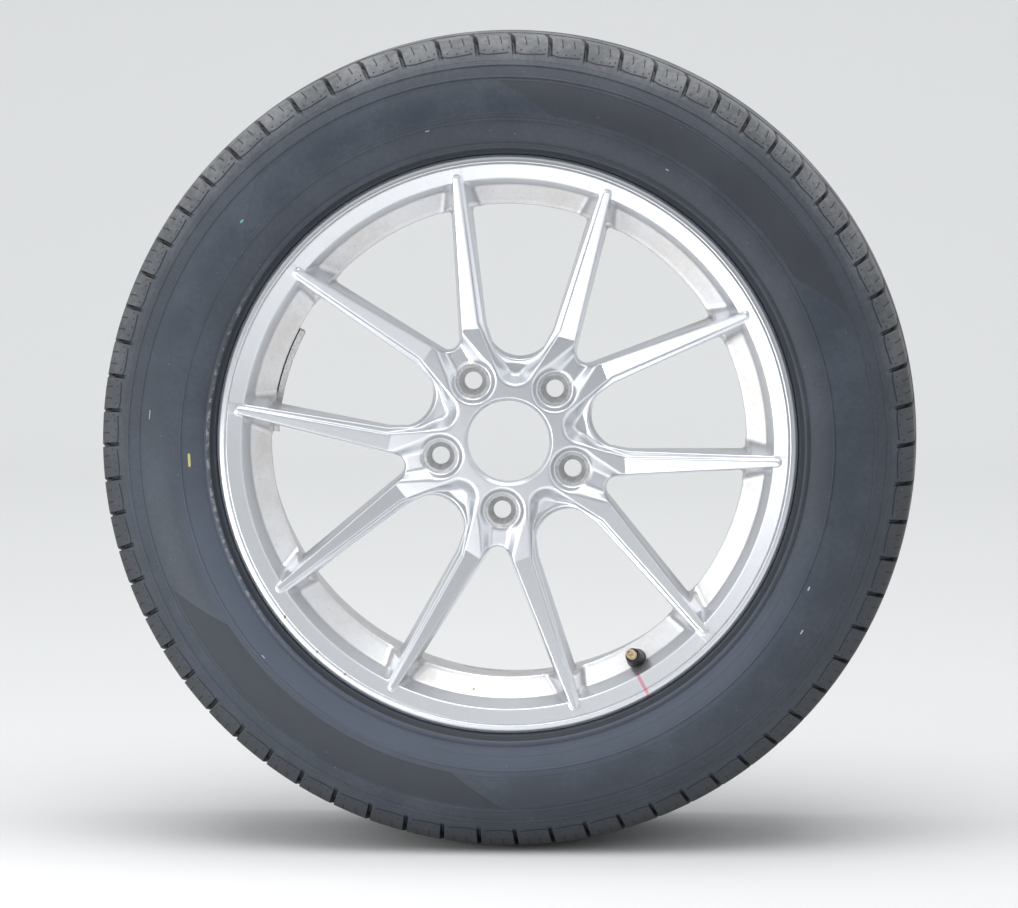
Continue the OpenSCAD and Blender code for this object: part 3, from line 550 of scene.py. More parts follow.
def casting(p, h, wall, roots):
    """The field of the casting. Upper walls, ledges, pockets, windows, back, tips and barrel come in turn."""
    r, up = p["r"], h - HUB_FRONT
    face = np.where(p["q"] > CREASE_Q, (up - FACE_RISE * (p["q"] - CREASE_Q)) * np.cos(np.arctan(FACE_RISE)), up)
    # Ledge: below its floor or outside its step, which leans back at the scoop
    t = np.clip((p["xn"] - 56) / 18, 0, 1)
    lean = np.tan(rad(SCOOP_DRAFT)) + (np.tan(rad(STEP_DRAFT)) - np.tan(rad(SCOOP_DRAFT))) * t * t * (3 - 2 * t)
    step = (up * lean - p["ledge"]) * np.cos(np.arctan(lean))
    # The wide windows' walls stand steeper above the hub's level, where the spokes rise to the lip
    wide = up * np.where(up > 0, np.tan(rad(SPOKE_DRAFT)), np.tan(rad(WIDE_DRAFT))) - p["wide"]
    top = round_max(smax(step, wide, 1.2), r - TIP_R, 2.6)
    floor = np.interp(r, [44, 64.5, 75.5, KNEE_R, TIP_R, TIP_R + 20],
                      [58.5, 58, 60, HUB_FRONT - LEDGE_D, lip_h(TIP_R) - 0.3, lip_h(TIP_R + 20)])
    solid = smax(face, smin(top, h - floor, 2.0), 1.5)
    # Bolt pocket with the channel out of it
    pocket = smax((p["bolt"] - (15 + (h - POCKET_H) * 3.4 / 6.05)) * 0.87, POCKET_H - h, 1.2)
    mouth = np.interp(p["xw"], [61.15, 99.15], [MOUTH_R, 11.3])
    channel = smax(smax((p["yw"] - 7.2 - (mouth - 7.2) * (h - 61.65) / 6.65) * 0.75, 61.65 - h, 1.5), 60 - p["xw"], 3)
    solid = smax(solid, -smin(pocket, channel, 2.0), 1.5)
    # Windows, whose narrow kind slopes out at the foot under the scoop, and the back
    foot = 9 * np.clip((80 - p["xn"]) / 17, 0, 1) * np.clip((64 - h) / 12, 0, 1)
    narrow = up * np.tan(rad(NARROW_DRAFT)) - p["narrow"] - foot
    solid = smax(solid, wide, 1.7)
    solid = smax(solid, narrow, 1.7)
    back = BACK + (SPOKE_BACK - BACK) * np.clip((r - MOUNT_R) / (BARREL_R - MOUNT_R), 0, 1.2) - h
    solid = smax(solid, back, 2.0)
    # The spokes run out on the lip, and their roots stand on the barrel
    root_w = (ROOT_H - h) * np.tan(rad(ROOT_DRAFT))
    root = smax(smax(roots, wide - root_w, 3.0), narrow - root_w, 3.0)
    fillet = np.interp(h, [POCKET_TOP - 6, POCKET_TOP], [5.0, 0.8])
    solid = smin(smin(solid, root, 2.0), wall, fillet)
    # Centre bore with its chamfer, and room for the bolt seats
    solid = np.maximum(solid, np.maximum(BORE_R - r, (BORE_R - r + h - HUB_FRONT + 2.2) * 0.7071))
    solid = np.maximum(solid, np.minimum(SPOT_R, np.interp(h, [52, 52.4], [BOLT_R, SPOT_R])) - p["bolt"])
    return smax(np.maximum(solid, WELL_BACK - h), r - (LINE_R - 0.6), 1.2)


def field_at(points):
    x, y, h = points.T
    p = plan_fields(x, y)
    return casting(p, h, to_outline(p["r"], h, WALL), to_outline(p["r"], h, ROOTS))


def slope_at(points, e=0.05):
    """Gradient of the field by central differences."""
    steps = np.eye(3) * e
    return np.stack([(field_at(points + d) - field_at(points - d)) / (2 * e) for d in steps], axis=1)


# %% [markdown]
# The surface is drawn by surface nets. The field is sampled on a grid in r, angle and h. Each cell that the
# surface passes gets one point, at the mean of the places where it crosses the cell's edges, and each grid
# edge that it crosses gets a face between the four cells round it. Two Newton steps then pull the points
# onto the surface, and the gradient gives the normals. How much metal lies close above a point, at 3 and
# 8 mm, tells how hollow it is there, which the paint uses for its dirt and for painted shade.

# %% Surface of one sector
def pairs(axis):
    """Slices of a 3-D array that give the two ends of each edge along an axis."""
    low, high = [slice(None)] * 3, [slice(None)] * 3
    low[axis], high[axis] = slice(0, -1), slice(1, None)
    return tuple(low), tuple(high)


def surface_net(axes, values):
    """One point for each cell that the surface passes, the number of each cell's point, and what is inside."""
    inside = values < 0
    shape = tuple(n - 1 for n in values.shape)
    place, count = np.zeros(shape + (3,), np.float32), np.zeros(shape, np.float32)
    for axis in range(3):
        o1, o2 = (a for a in range(3) if a != axis)
        low, high = pairs(axis)
        v0, v1 = values[low], values[high]
        crossed = inside[low] != inside[high]
        share = np.where(crossed, v0 / np.where(crossed, v0 - v1, 1), 0)
        for d1, d2 in ((0, 0), (0, 1), (1, 0), (1, 1)):
            part = [slice(None)] * 3
            part[o1], part[o2] = slice(d1, shape[o1] + d1), slice(d2, shape[o2] + d2)
            c = crossed[tuple(part)]
            count += c
            place[..., axis] += share[tuple(part)]
            place[..., o1] += c * d1
            place[..., o2] += c * d2
    active = count > 0
    cell = np.argwhere(active) + place[active] / count[active][:, None]
    number = np.full(shape, -1)
    number[active] = np.arange(len(cell))
    r, a, h = (np.interp(cell[:, k], np.arange(len(axes[k])), axes[k]) for k in range(3))
    return np.column_stack([r * np.cos(rad(a)), r * np.sin(rad(a)), h]), number, inside


def net_faces(number, inside):
    """Four cells round each crossed edge. The cells have one more column of angles than the grid needs."""
    faces = []
    for axis, (o1, o2) in enumerate(((1, 2), (2, 0), (0, 1))):
        low, high = pairs(axis)
        part = [slice(None)] * 3
        for o in (o1, o2):
            part[o] = slice(1, None if o == 1 else -1)
        a, b = inside[low][tuple(part)], inside[high][tuple(part)]
        where = np.argwhere(a != b)
        leaving = b[tuple(where.T)]
        corners = []
        for d1, d2 in ((0, 0), (1, 0), (1, 1), (0, 1)):
            cell = where.copy()
            cell[:, o1] += d1
            cell[:, o2] += d2
            corners.append(number[tuple(cell.T)])
        quad = np.column_stack(corners)
        quad[leaving] = quad[leaving][:, ::-1]
        faces.append(quad)
    return np.vstack(faces)


def sector():
    r = np.concatenate([np.arange(32.3, 100, 1.0), np.arange(100, 200, 1.3), np.arange(200, 230, 0.75)])
    a = np.linspace(-36, 36, 217)
    h = np.arange(34.6, 101.5, 0.88)
    R, A = np.meshgrid(r, rad(a), indexing="ij")
    p = {k: v[:, :, None] for k, v in plan_fields(R * np.cos(A), R * np.sin(A)).items()}
    R, H = np.meshgrid(r, h, indexing="ij")
    values = casting(p, h[None, None, :], to_outline(R, H, WALL)[:, None, :], to_outline(R, H, ROOTS)[:, None, :])
    points, number, inside = surface_net((r, a, h), values.astype(np.float32))
    for _ in range(2):
        g = slope_at(points)
        away = field_at(points) / np.maximum((g * g).sum(1), 0.25)
        points = points - g * np.clip(away, -0.5, 0.5)[:, None]
    normals = slope_at(points)
    normals /= np.linalg.norm(normals, axis=1, keepdims=True)
    hollow = np.clip(1 - 0.5 * (field_at(points + 3 * normals) / 3 + field_at(points + 8 * normals) / 8), 0, 1)
    # The first column of cells of the next sector closes the seam
    first = number[:, 0, :]
    used = first[first >= 0]
    extra = np.full(first.shape, -1)
    extra[first >= 0] = len(points) + np.arange(len(used))
    number = np.concatenate([number, extra[:, None, :]], axis=1)
    points, normals = (np.vstack([v, at_angle(v[used], BOLT_STEP)]) for v in (points, normals))
    return points, net_faces(number, inside), normals, np.concatenate([hollow, hollow[used]])


points, faces, normals, hollow = sector()
for k in range(5):
    turn = BOLT_PHASE + k * BOLT_STEP
    add_piece("casting_%d" % (k + 1), at_angle(points, turn), faces, PAINT,
              at_angle(normals, turn), shades={"hollow": hollow})

# %% [markdown]
# ## Barrel, flanges and bolt seats
# The barrel is spun and then turned on a lathe, so its section is turned about the axle. The fine groove on
# the lip hides where the casting's surface and the turned one meet. The bolt seats are turned as well: a
# flat ring, and a cone of 60 degrees for the bolts.

# %% Barrel and bolt seats
def half_rim():
    """One flange and bead seat on the tyre's side, from the edge of the flange inwards."""
    seat_in = SEAT_R - (SEAT_W - CORNER_R) * np.tan(rad(SEAT_TAPER))
    return np.vstack([
        arc(0, 0, 1, 90, 0, 10) * [5, 3] + [FLANGE_R - 5, RIM_FRONT - 3],
        arc(FLANGE_R - CURL_R, RIM_HALF + CURL_R, CURL_R, 0, -90, 14),
        arc(SEAT_R + CORNER_R, RIM_HALF - CORNER_R, CORNER_R, 90, 180, 8),
        [[seat_in, RIM_HALF - SEAT_W], [seat_in + 0.9, RIM_HALF - SEAT_W - 2],
         [seat_in + 0.9, RIM_HALF - SEAT_W - 3.4]]])


def barrel_profile():
    seat = half_rim()[-1]
    run, inner = seat[0] - 1.6 - WELL_R, barrel_at(WELL_BACK)
    return np.vstack([
        half_rim(),
        [[seat[0] - 1.6, WELL_FRONT + run * np.tan(rad(18))], [WELL_R, WELL_FRONT], [WELL_R, WELL_BACK],
         [seat[0] - 4, WELL_BACK - 24], [seat[0] - 3, -60.1]],
        half_rim()[::-1] * [1, -1],
        [[SEAT_R + 1, -RIM_FRONT], [SEAT_R - 0.6, -RIM_FRONT + 0.6], [SEAT_R - 6, -RIM_FRONT + 3],
         [SEAT_R - 9, -RIM_HALF + 5], [inner + 8, WELL_BACK - 24], [inner + 0.05, WELL_BACK - 0.1],
         [inner + 1.5, WELL_BACK + 0.8], FLOOR_END + [1.2, -2],
         FLOOR_TOP + [2.3, 0.4], [POCKET_R + 1, 90], [LINE_R - 2, RIM_FRONT - 3], [LINE_R - 0.3, RIM_FRONT - 1.1],
         [LINE_R + 0.1, RIM_FRONT - 0.5], [LINE_R + 0.55, RIM_FRONT - 0.02]]])


points, faces = turned(barrel_profile(), 480, 0.25)
r = np.hypot(points[:, 0], points[:, 1])
# Painted shade: the fine groove of the lip gets a high hollow value, so the paint darkens it
hollow = np.where((points[:, 2] > RIM_FRONT - 2) & (r < LINE_R + 0.4), 0.7, 0.15)
add_piece("barrel", points, faces, PAINT, shades={"hollow": hollow})

seat_profile = [(BOLT_R, 52.3), (BOLT_R, 53.0), (SEAT_TOP_R, SPOT_H), (SPOT_R - 0.3, SPOT_H),
                (SPOT_R + 0.25, SPOT_H + 0.5), (SPOT_R + 0.4, SPOT_H), (SPOT_R + 0.4, 52.3)]
points, faces = turned(seat_profile, 96, 0.15)
for k in range(5):
    placed = at_angle(points + [BOLT_CIRCLE, 0, 0], BOLT_PHASE + k * BOLT_STEP)
    add_piece("bolt_seat_%d" % (k + 1), placed, faces, SEAT)

for piece in PIECES.values():
    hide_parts("wheel")

# %% [markdown]
# ## Rubber
# Tyre rubber is a dull blue-black with a faint sheen. Road dust greys it, more on the lower sidewall, and dust with a
# painted glare from above lightens the top of the tread. The finest moulded marks are too small to be worth points:
# knurling, thin rings, the frames of the panels and the cuts of the shoulder blocks are heights in millimetres that
# one
# Bump node turns into relief. Two matte panels and two framed ones stand where a tyre carries its lettering, and they
# are left plain here.

# %% Rubber helpers
def line_mask(value, middle, half):
    """1 where value is within half of the middle, falling smoothly to 0 at twice that distance."""
    return fade(off(value, middle), half, 2 * half, 1.0, 0.0)


def between(value, low, high, soft):
    return times(fade(value, low - soft, low + soft), fade(value, high - soft, high + soft, 1.0, 0.0))


def build_round(given):
    """Radius in mm and angle in degrees from 0 to 360, about the axle."""
    x, _, z = split(given["Place"])
    return [times(reach(x, z), 1000.0), math("WRAP", math("DEGREES", math("ARCTAN2", z, x)), 0.0, 360.0)]


def build_panel(given):
    """A part of a ring: between two radii, and between two angles with ends that lean as the radius grows.
    Edge is the thin line round it."""
    r, a = given["Radius"], given["Angle"]
    lean = times(minus(r, 283.0), given["Lean"])
    start, end = plus(minus(a, given["From"]), lean), plus(minus(given["To"], a), lean)
    along = times(least(start, end), times(r, float(rad(1))))
    across = least(minus(r, given["Low"]), minus(given["High"], r))
    deep = least(along, across)
    return [fade(deep, -0.25, 0.25), line_mask(deep, 0.0, 0.3)]


ROUND = group("round_axle", {"Place": None}, ["Radius", "Angle"], build_round)
PANEL = group("panel", dict.fromkeys(("Radius", "Angle", "From", "To", "Low", "High", "Lean"), 0.0),
              ["Inside", "Edge"], build_panel)
# Panels: angles of their ends in degrees and the lean of the ends, first the matte ones
MATTE = ((26.0, 87.0, 0.35), (208.0, 265.0, 0.35))
FRAMED = ((90.0, 137.0, -0.35), (268.0, 315.0, -0.35))
# Thin rings: radius and half width. The lower two run only from 255 to 332 degrees
THIN = ((254.0, 0.3), (249.0, 0.3), (311.0, 0.25))
# Line at the foot of a shoulder block: share of the pitch, and distance from the blocks' end in cm
FOOT = ((0.0, 0.52), (0.1, 0.30), (0.25, 0.22), (0.5, 0.25), (0.85, 0.36), (1.0, 0.5))
CUTS = ((0.33, 11.0), (0.66, 12.0))
PIPS = ((0.2, 6.2), (0.45, 5.0), (0.7, 6.2), (0.86, 8.0))
# Marks on the tyre: angle in degrees, radius in mm, length along the ring and half width in mm, and colour
CHALK, FLECK, PALE = (0.50, 0.47, 0.16, 1), (0.12, 0.42, 0.46, 1), (0.42, 0.44, 0.46, 1)
MARKS = ((182.6, 257.5, 9.0, 1.2, CHALK), (139.5, 280.5, 2.0, 0.9, FLECK), (328.0, 282.1, 3.0, 0.7, PALE),
         (335.0, 270.0, 2.4, 0.8, PALE), (175.0, 290.2, 7.0, 0.35, PALE), (221.0, 262.0, 3.0, 0.4, PALE),
         (60.0, 258.5, 2.0, 0.5, PALE), (104.0, 262.5, 2.6, 0.5, PALE))


# %% Rubber
def foot_line(share, inward):
    """The scalloped line under the shoulder blocks: a curve of the share of the pitch, 10 mm high at 1."""
    foot = node(share.id_data, "FloatCurve", Value=share)
    line = foot.mapping.curves[0]
    line.points[0].location, line.points[-1].location = FOOT[0], FOOT[-1]
    for x, y in FOOT[1:-1]:
        line.points.new(x, y)
    foot.mapping.update()
    return times(line_mask(minus(inward, times(foot.outputs[0], 10.0)), 0.0, 0.42), fade(share, 0.86, 0.83))


def cut(share, inward, where, low):
    """A kinked cut across a block, from low mm inwards."""
    kink = times(math("PINGPONG", times(inward, 0.11), 0.5), 0.05)
    return times(line_mask(minus(share, kink, where), 0.0, 0.009), between(inward, low, 30.0, 0.5))


def pip(share, inward, x, y):
    return fade(reach(times(minus(share, x), 29.0), minus(inward, y)), 0.5, 0.8, 1.0, 0.0)


def rubber_material():
    m, shader, place = material("tyre_rubber", Roughness=0.55, Specular_IOR_Level=0.42)
    radius, angle = use(ROUND, Place=place)
    cloud, _ = use(GRIME_AND_SHADE, Place=place, Hollow=0.3)
    u, v, _ = split(node(m.node_tree, "UVMap", uv_map="UVMap").outputs[0])
    share, inward = math("FRACT", times(u, -1.0)), times(v, 100.0)
    # Fine rings and knurling
    knurl = times(math("SINE", times(angle, float(rad(1) * 1200))), 0.12)
    height = times(between(radius, 299.6, 306.6, 0.3), knurl)
    upper = fade(radius, 300.0, 305.0)
    arcs = times(most(fade(angle, 254.0, 257.0), upper), most(fade(angle, 333.0, 330.0), upper))
    thin = most(*(line_mask(radius, ring, half) for ring, half in THIN))
    height = minus(height, times(thin, arcs, 0.25))
    # Panels
    panels = [use(PANEL, Radius=radius, Angle=angle, From=start, To=end, Low=269.5, High=295.5, Lean=lean)
              for start, end, lean in (*MATTE, *FRAMED)]
    matte = most(*(p["Inside"] for p in panels[:len(MATTE)]))
    height = plus(height, times(most(*(p["Edge"] for p in panels)), 0.3))
    # Shoulder blocks: the line at their foot, two kinked cuts and four pips
    fine = most(foot_line(share, inward), *(cut(share, inward, *c) for c in CUTS),
                *(pip(share, inward, *p) for p in PIPS))
    dark = times(fine, fade(inward, 0.5, 1.0))
    height = minus(height, times(dark, 0.5))
    height = plus(height, times(noise(place, 1400.0, 3.0, 0.6), 0.08))
    # Colour: bluer and dustier low on the sidewall
    base = mix(cloud, (0.030, 0.038, 0.052, 1), (0.050, 0.060, 0.078, 1))
    low_wall = times(between(radius, 240.0, 268.0, 6.0), between(angle, 185.0, 330.0, 14.0), 0.6)
    base = mix(low_wall, base, (0.070, 0.085, 0.118, 1))
    base = mix(times(matte, 0.65), base, (0.026, 0.029, 0.036, 1))
    # Dust and a painted glare of the light from above lighten the tread and the shoulder towards the top
    dust_and_glare = times(fade(split(place)[2], -0.12, 0.32), fade(radius, 303.0, 330.0), fade(cloud, -0.6, 1.0))
    base = mix(fade(radius, 310.0, 330.0), base, (0.030, 0.032, 0.036, 1))
    base = mix(dust_and_glare, base, (0.20, 0.205, 0.215, 1))
    # Painted shade: the foot lines, cuts and pips of the shoulder blocks are darkened almost to black
    base = mix(times(dark, 0.9), base, (0.006, 0.007, 0.009, 1))
    # Painted shade darkens the gap at the rim, and the ring beside it is scuffed at the left
    base = mix(times(line_mask(radius, 239.6, 1.0), 0.8), base, (0.010, 0.011, 0.013, 1))
    worn = fade(noise(place, 160.0, 4.0, 0.7), 0.45, 0.62)
    scuff = times(line_mask(radius, 242.6, 0.8), between(angle, 150.0, 215.0, 12.0), worn, 0.5)
    base = mix(scuff, base, (0.30, 0.31, 0.33, 1))
    specks = use(SPECKS, Place=place, Scale=150.0, Size=0.07, Share=0.10)[0]
    base = mix(times(specks, 0.5), base, (0.22, 0.23, 0.25, 1))
    for deg, r, long, half, colour in MARKS:
        c, s = float(np.cos(rad(deg))), float(np.sin(rad(deg)))
        line = stroke(place, r * c + s * long / 2, r * s - c * long / 2, -s * long, c * long, half)
        base = mix(times(line, 0.8), base, colour)
    rough = plus(times(cloud, 0.12), 0.50, times(matte, 0.12))
    feed(shader, Base_Color=base, Roughness=rough, Normal=relief(height, 0.001, 0.8))
    return m


RUBBER = rubber_material()

# %% [markdown]
# ## The tyre
# A tyre is moulded in one piece, so its whole section is one closed line of points that is carried round the
# axle. The slots between the shoulder blocks are pressed in where their pitch says: they are spaced a little
# unevenly, as on a real tyre, so that they don't sing one note, and they lean. Each pitch of the pattern has
# the same sixteen columns of points, some of them on the edges of its slot, so a slot's walls are clean.

# %% Section of the tyre
HALF = TREAD_W / 2
BLOCK_END = np.array([BLOCK_END_R, SECTION_W / 2 - 15])
WIDEST = np.array([WIDEST_R, SECTION_W / 2])
BEAD_EXIT = np.array([FLANGE_R + 3.4, RIM_FRONT + 1.5])


def crown(h):
    """Radius of the tread, a parabola over its width."""
    return TYRE_R - CROWN_DROP * (2 * h / TREAD_W) ** 2


def smooth_outside():
    """Half of the outside without its pattern, from the middle of the tread to the flange, finely divided."""
    h = np.linspace(0, HALF - 3, 120)
    edge = np.array([TYRE_R - CROWN_DROP, HALF])
    return np.vstack([
        np.column_stack([crown(h), h]),
        curve([crown(HALF - 3), HALF - 3], edge + [-0.5, 1.5], BLOCK_END + [8, -4.5], BLOCK_END, 60)[1:],
        curve(BLOCK_END, BLOCK_END + [-9, 5.6], WIDEST + [16, 0], WIDEST, 120)[1:],
        curve(WIDEST, WIDEST - [14, 0], BEAD_EXIT + [8, 7], BEAD_EXIT, 120)[1:]])


def half_outside():
    """Rows of the outside: radius, height, and depth of the slots there. The grooves round the tread and the
    rings on the sidewall are steps along the normal of the smooth line."""
    line = smooth_outside()
    run = np.concatenate([[0], np.cumsum(np.hypot(*np.diff(line, axis=0).T))])
    end_of_blocks = run[np.argmin(np.hypot(*(line - BLOCK_END).T))]
    # Distances along the line at which a row lies
    stops = [np.linspace(0, end_of_blocks, 46)]
    groove = np.array([-5.1, -4.5, -3.0, 0, 3.0, 4.5, 5.1])
    h_rows = np.concatenate([*(g + groove for g in GROOVES), [64, 70, 76, 82]])
    keep = np.min(np.abs(stops[0][:, None] - np.interp(h_rows, line[:, 1][:120], run[:120])[None]), axis=1) > 0.9
    stops = [stops[0][keep], np.interp(h_rows, line[:, 1][:120], run[:120])]
    radii = [np.linspace(BLOCK_END_R - 1.5, BEAD_EXIT[0], 36)]
    for rc, w, _ in RINGS:
        ring = rc + w * np.array([-0.78, -0.75, -0.5, 0.5, 0.75, 0.78])
        radii = [radii[0][np.min(np.abs(radii[0][:, None] - ring[None]), axis=1) > 0.5], *radii[1:], ring]
    lower = line[:, 0] <= BLOCK_END_R
    stops.append(np.interp(-np.concatenate(radii), -line[lower, 0], run[lower]))
    at = np.unique(np.round(np.concatenate(stops), 3))
    rows, ahead, back = (np.column_stack([np.interp(at + d, run, v) for v in line.T]) for d in (0, 0.5, -0.5))
    along = (ahead - back) / np.linalg.norm(ahead - back, axis=1, keepdims=True)
    normal = np.column_stack([along[:, 1], -along[:, 0]])
    lift = np.zeros(len(rows))
    tread = rows[:, 0] > BLOCK_END_R
    for g in GROOVES:
        lift -= tread * GROOVE_D * np.clip((4.5 - np.abs(rows[:, 1] - g)) / 1.5, 0, 1)
    for rc, w, t in RINGS:
        lift += ~tread * t * np.clip((0.75 * w - np.abs(rows[:, 0] - rc)) / (0.25 * w), 0, 1)
    past = np.clip((at - run[119]) / (end_of_blocks - run[119]), 0, 1)
    depth = SLOT_D * (1 - past**2) * (rows[:, 1] > GROOVES[1] + 4.4) * tread
    return rows + normal * lift[:, None], depth, normal, end_of_blocks - at


def half_inside():
    """The face that sits on the rim, then the inside up to the middle of the tread."""
    gap = 0.15
    toe, side = np.array([SEAT_R + 3, RIM_HALF - SEAT_W]), WIDEST - [0, SIDEWALL_T]
    shoulder = np.array([TYRE_R - CROWN_DROP - TREAD_T, HALF - 14])
    return np.vstack([
        arc(FLANGE_R - CURL_R, RIM_HALF + CURL_R, CURL_R + gap, -14, -90, 8),
        arc(SEAT_R + CORNER_R, RIM_HALF - CORNER_R, CORNER_R - gap, 90, 180, 6),
        [[SEAT_R + gap - (SEAT_W - CORNER_R - 1) * np.tan(rad(SEAT_TAPER)), RIM_HALF - SEAT_W + 1]],
        curve(toe, toe + [12, 6], side - [22, 1], side, 7),
        curve(side, side + [20, 0], shoulder + [0, 12], shoulder, 7)[1:],
        [[TYRE_R - TREAD_T, 20]]])


# %% Tyre
def pitch_columns():
    """Places of the columns, counted in pitches: seven about each slot, then nine even ones."""
    pitch = 2 * np.pi * TYRE_R / BLOCKS
    local = np.concatenate([np.array([-2.3, -1.75, -1.35, 0, 1.35, 1.75, 2.3]) / pitch,
                            np.linspace(2.3 / pitch, 1 - 2.3 / pitch, 11)[1:-1]])
    in_slot = np.concatenate([[0, 0, 1, 1, 1, 0, 0], np.zeros(9)])
    return (np.arange(BLOCKS)[:, None] + local[None]).ravel(), np.tile(in_slot, BLOCKS)


def tyre_surface():
    """Points of the whole closed section carried round. A point's angle is that of its pitch, plus the lean
    of the slots, plus half a pitch towards the back shoulder; its depth is the slot's where it lies in one."""
    rows, depth, normal, from_end = half_outside()
    inner = half_inside()
    zero = np.zeros(len(inner))
    flip = [1, -1]
    section = np.vstack([rows, inner, inner[::-1] * flip, rows[::-1][:-1] * flip])
    depth = np.concatenate([depth, zero, zero, depth[::-1][:-1]])
    normal = np.vstack([normal, np.zeros_like(inner), np.zeros_like(inner), normal[::-1][:-1] * flip])
    from_end = np.concatenate([from_end, zero, zero, from_end[::-1][:-1]])
    u, in_slot = pitch_columns()
    r, h = section.T
    t = np.clip((h + GROOVES[1]) / (2 * GROOVES[1]), 0, 1)
    shift = 0.5 * (1 - t * t * (3 - 2 * t))
    shifted = u[None, :] + shift[:, None]
    angle = 360 * shifted / BLOCKS + SWING * np.sin(rad(3 * 360 * shifted / BLOCKS))
    lean = np.degrees(np.tan(rad(SLOT_SLANT)) * (BLOCK_END[1] - np.clip(np.abs(h), GROOVES[1], BLOCK_END[1])) / r)
    angle = rad(angle + lean[:, None])
    sunk = depth[:, None] * in_slot[None, :]
    rr = r[:, None] - normal[:, :1] * sunk
    hh = h[:, None] - normal[:, 1:] * sunk
    points = np.stack([rr * np.cos(angle), rr * np.sin(angle), hh], axis=-1).reshape(-1, 3)
    return points, len(section), len(rows), u, from_end


points, n_rows, n_out, u, from_end = tyre_surface()
cols = len(u)
faces = grid_faces(n_rows, cols, wrap_rows=True)
if (points[faces].mean(1) * face_normals(points, faces)).sum() < 0:
    faces = faces[:, ::-1]
normals = corner_normals(points, faces)
row_of, col_of = faces // cols, faces % cols
last = (col_of.max(1) == cols - 1) & (col_of.min(1) == 0)
uv = np.stack([u[col_of] + BLOCKS * ((col_of == 0) & last[:, None]), from_end[row_of] / 100], axis=-1)
n_tread = int((from_end[:n_out] > -0.01).sum())
low, high = row_of.min(1), row_of.max(1)
on_tread = (high < n_tread) | (low >= n_rows - n_tread + 1) | ((low == 0) & (high == n_rows - 1))
on_front = ~on_tread & (high < n_out + 15)
for name, part in (("tyre_tread", on_tread), ("tyre_front", on_front), ("tyre_back", ~on_tread & ~on_front)):
    used, index = np.unique(faces[part], return_inverse=True)
    add_piece(name, points[used], index.reshape(-1, 4), RUBBER, normals[used], uv[part])
    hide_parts("tyre")

# %% [markdown]
# ## Valve and balance weight
# The small pieces keep their CAD shapes, which are turned and bent parts with nothing to add, and get the
# finish of what they are made of: ozone-dulled rubber, brass that has browned, spring steel, and a grey
# coated weight on black foam tape.

# %% Small materials
def plain_rubber(name, low, high, roughness):
    m, shader, place = material(name, Roughness=roughness, Specular_IOR_Level=0.4)
    cloud = fade(noise(place, 320.0, 4.0, 0.6), 0.35, 0.7)
    feed(shader, Base_Color=mix(cloud, low, high), Normal=relief(noise(place, 2400.0, 2.0), 0.00005, 0.6))
    return m


def metal(name, clean, stained, roughness, share=(0.35, 0.7), metallic=1.0):
    """A metal with a stain that gathers in clouds and makes it duller."""
    m, shader, place = material(name, Metallic=metallic, Roughness=roughness)
    cloud = fade(noise(place, 480.0, 4.0, 0.65), *share)
    feed(shader, Base_Color=mix(cloud, clean, stained), Roughness=plus(times(cloud, 0.2), roughness),
         Normal=relief(noise(place, 3000.0, 2.0), 0.00003, 0.5))
    return m


FINISHES = {
    "valve_rubber_body": plain_rubber("valve_rubber", (0.012, 0.013, 0.015, 1), (0.030, 0.031, 0.034, 1), 0.5),
    "valve_core_seal": plain_rubber("core_seal", (0.02, 0.02, 0.022, 1), (0.035, 0.034, 0.035, 1), 0.6),
    "valve_core_gasket": plain_rubber("core_gasket", (0.20, 0.030, 0.022, 1), (0.26, 0.05, 0.035, 1), 0.5),
    "weight_tape": plain_rubber("foam_tape", (0.008, 0.008, 0.009, 1), (0.025, 0.025, 0.027, 1), 0.85),
    "valve_stem": metal("valve_brass", (0.78, 0.62, 0.40, 1), (0.42, 0.30, 0.17, 1), 0.30),
    "valve_core_housing": metal("core_brass", (0.70, 0.55, 0.34, 1), (0.34, 0.25, 0.15, 1), 0.32),
    "valve_core_pin": metal("pin_brass", (0.85, 0.74, 0.55, 1), (0.60, 0.48, 0.32, 1), 0.25),
    "valve_core_spring": metal("spring_steel", (0.62, 0.62, 0.63, 1), (0.35, 0.34, 0.33, 1), 0.3),
    "balance_weight": metal("weight_coat", (0.56, 0.56, 0.57, 1), (0.40, 0.385, 0.37, 1), 0.42, (0.4, 0.75), 0.6),
}
for name, finish in FINISHES.items():
    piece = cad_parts[name]
    if not piece.data.materials:
        piece.data.materials.append(finish)
    for place_of in piece.material_slots:
        place_of.material = finish
    print(name, "takes", finish.name)

# The return spring is a copy of its CAD shape. Its outer and inner ends are found along the direction in which
# the pin is pressed
PRESS = np.array([0.157302, 0.951057, -0.265984])
coil = shown("valve_spring_coil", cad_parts["valve_core_spring"].data.copy())
co = np.empty(3 * len(coil.data.vertices))
coil.data.vertices.foreach_get("co", co)
co = co.reshape(-1, 3)
along, middle = co @ PRESS, co.mean(0)
outer, inner = (middle + PRESS * (t - middle @ PRESS) for t in (along.min(), along.max()))
tuple(outer)
tuple(inner)
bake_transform(coil)
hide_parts("valve_core_spring")
print("valve_spring_coil is", round(1000 * float(np.ptp(along)), 2), "mm long at rest")

# %% [markdown]
# ## Floor, light and camera
# The wheel stands on a pale sweep, a floor that bends up behind it, so that there is no line at the back. The
# light comes mainly from above, from a broad softbox, with weaker ones at both sides. The room towards the
# camera is darker, and the flat face of the hub, which mirrors it, reads greyer than the sloping spokes. A
# small softbox low at the left stands close, so the hub grows brighter towards that side.

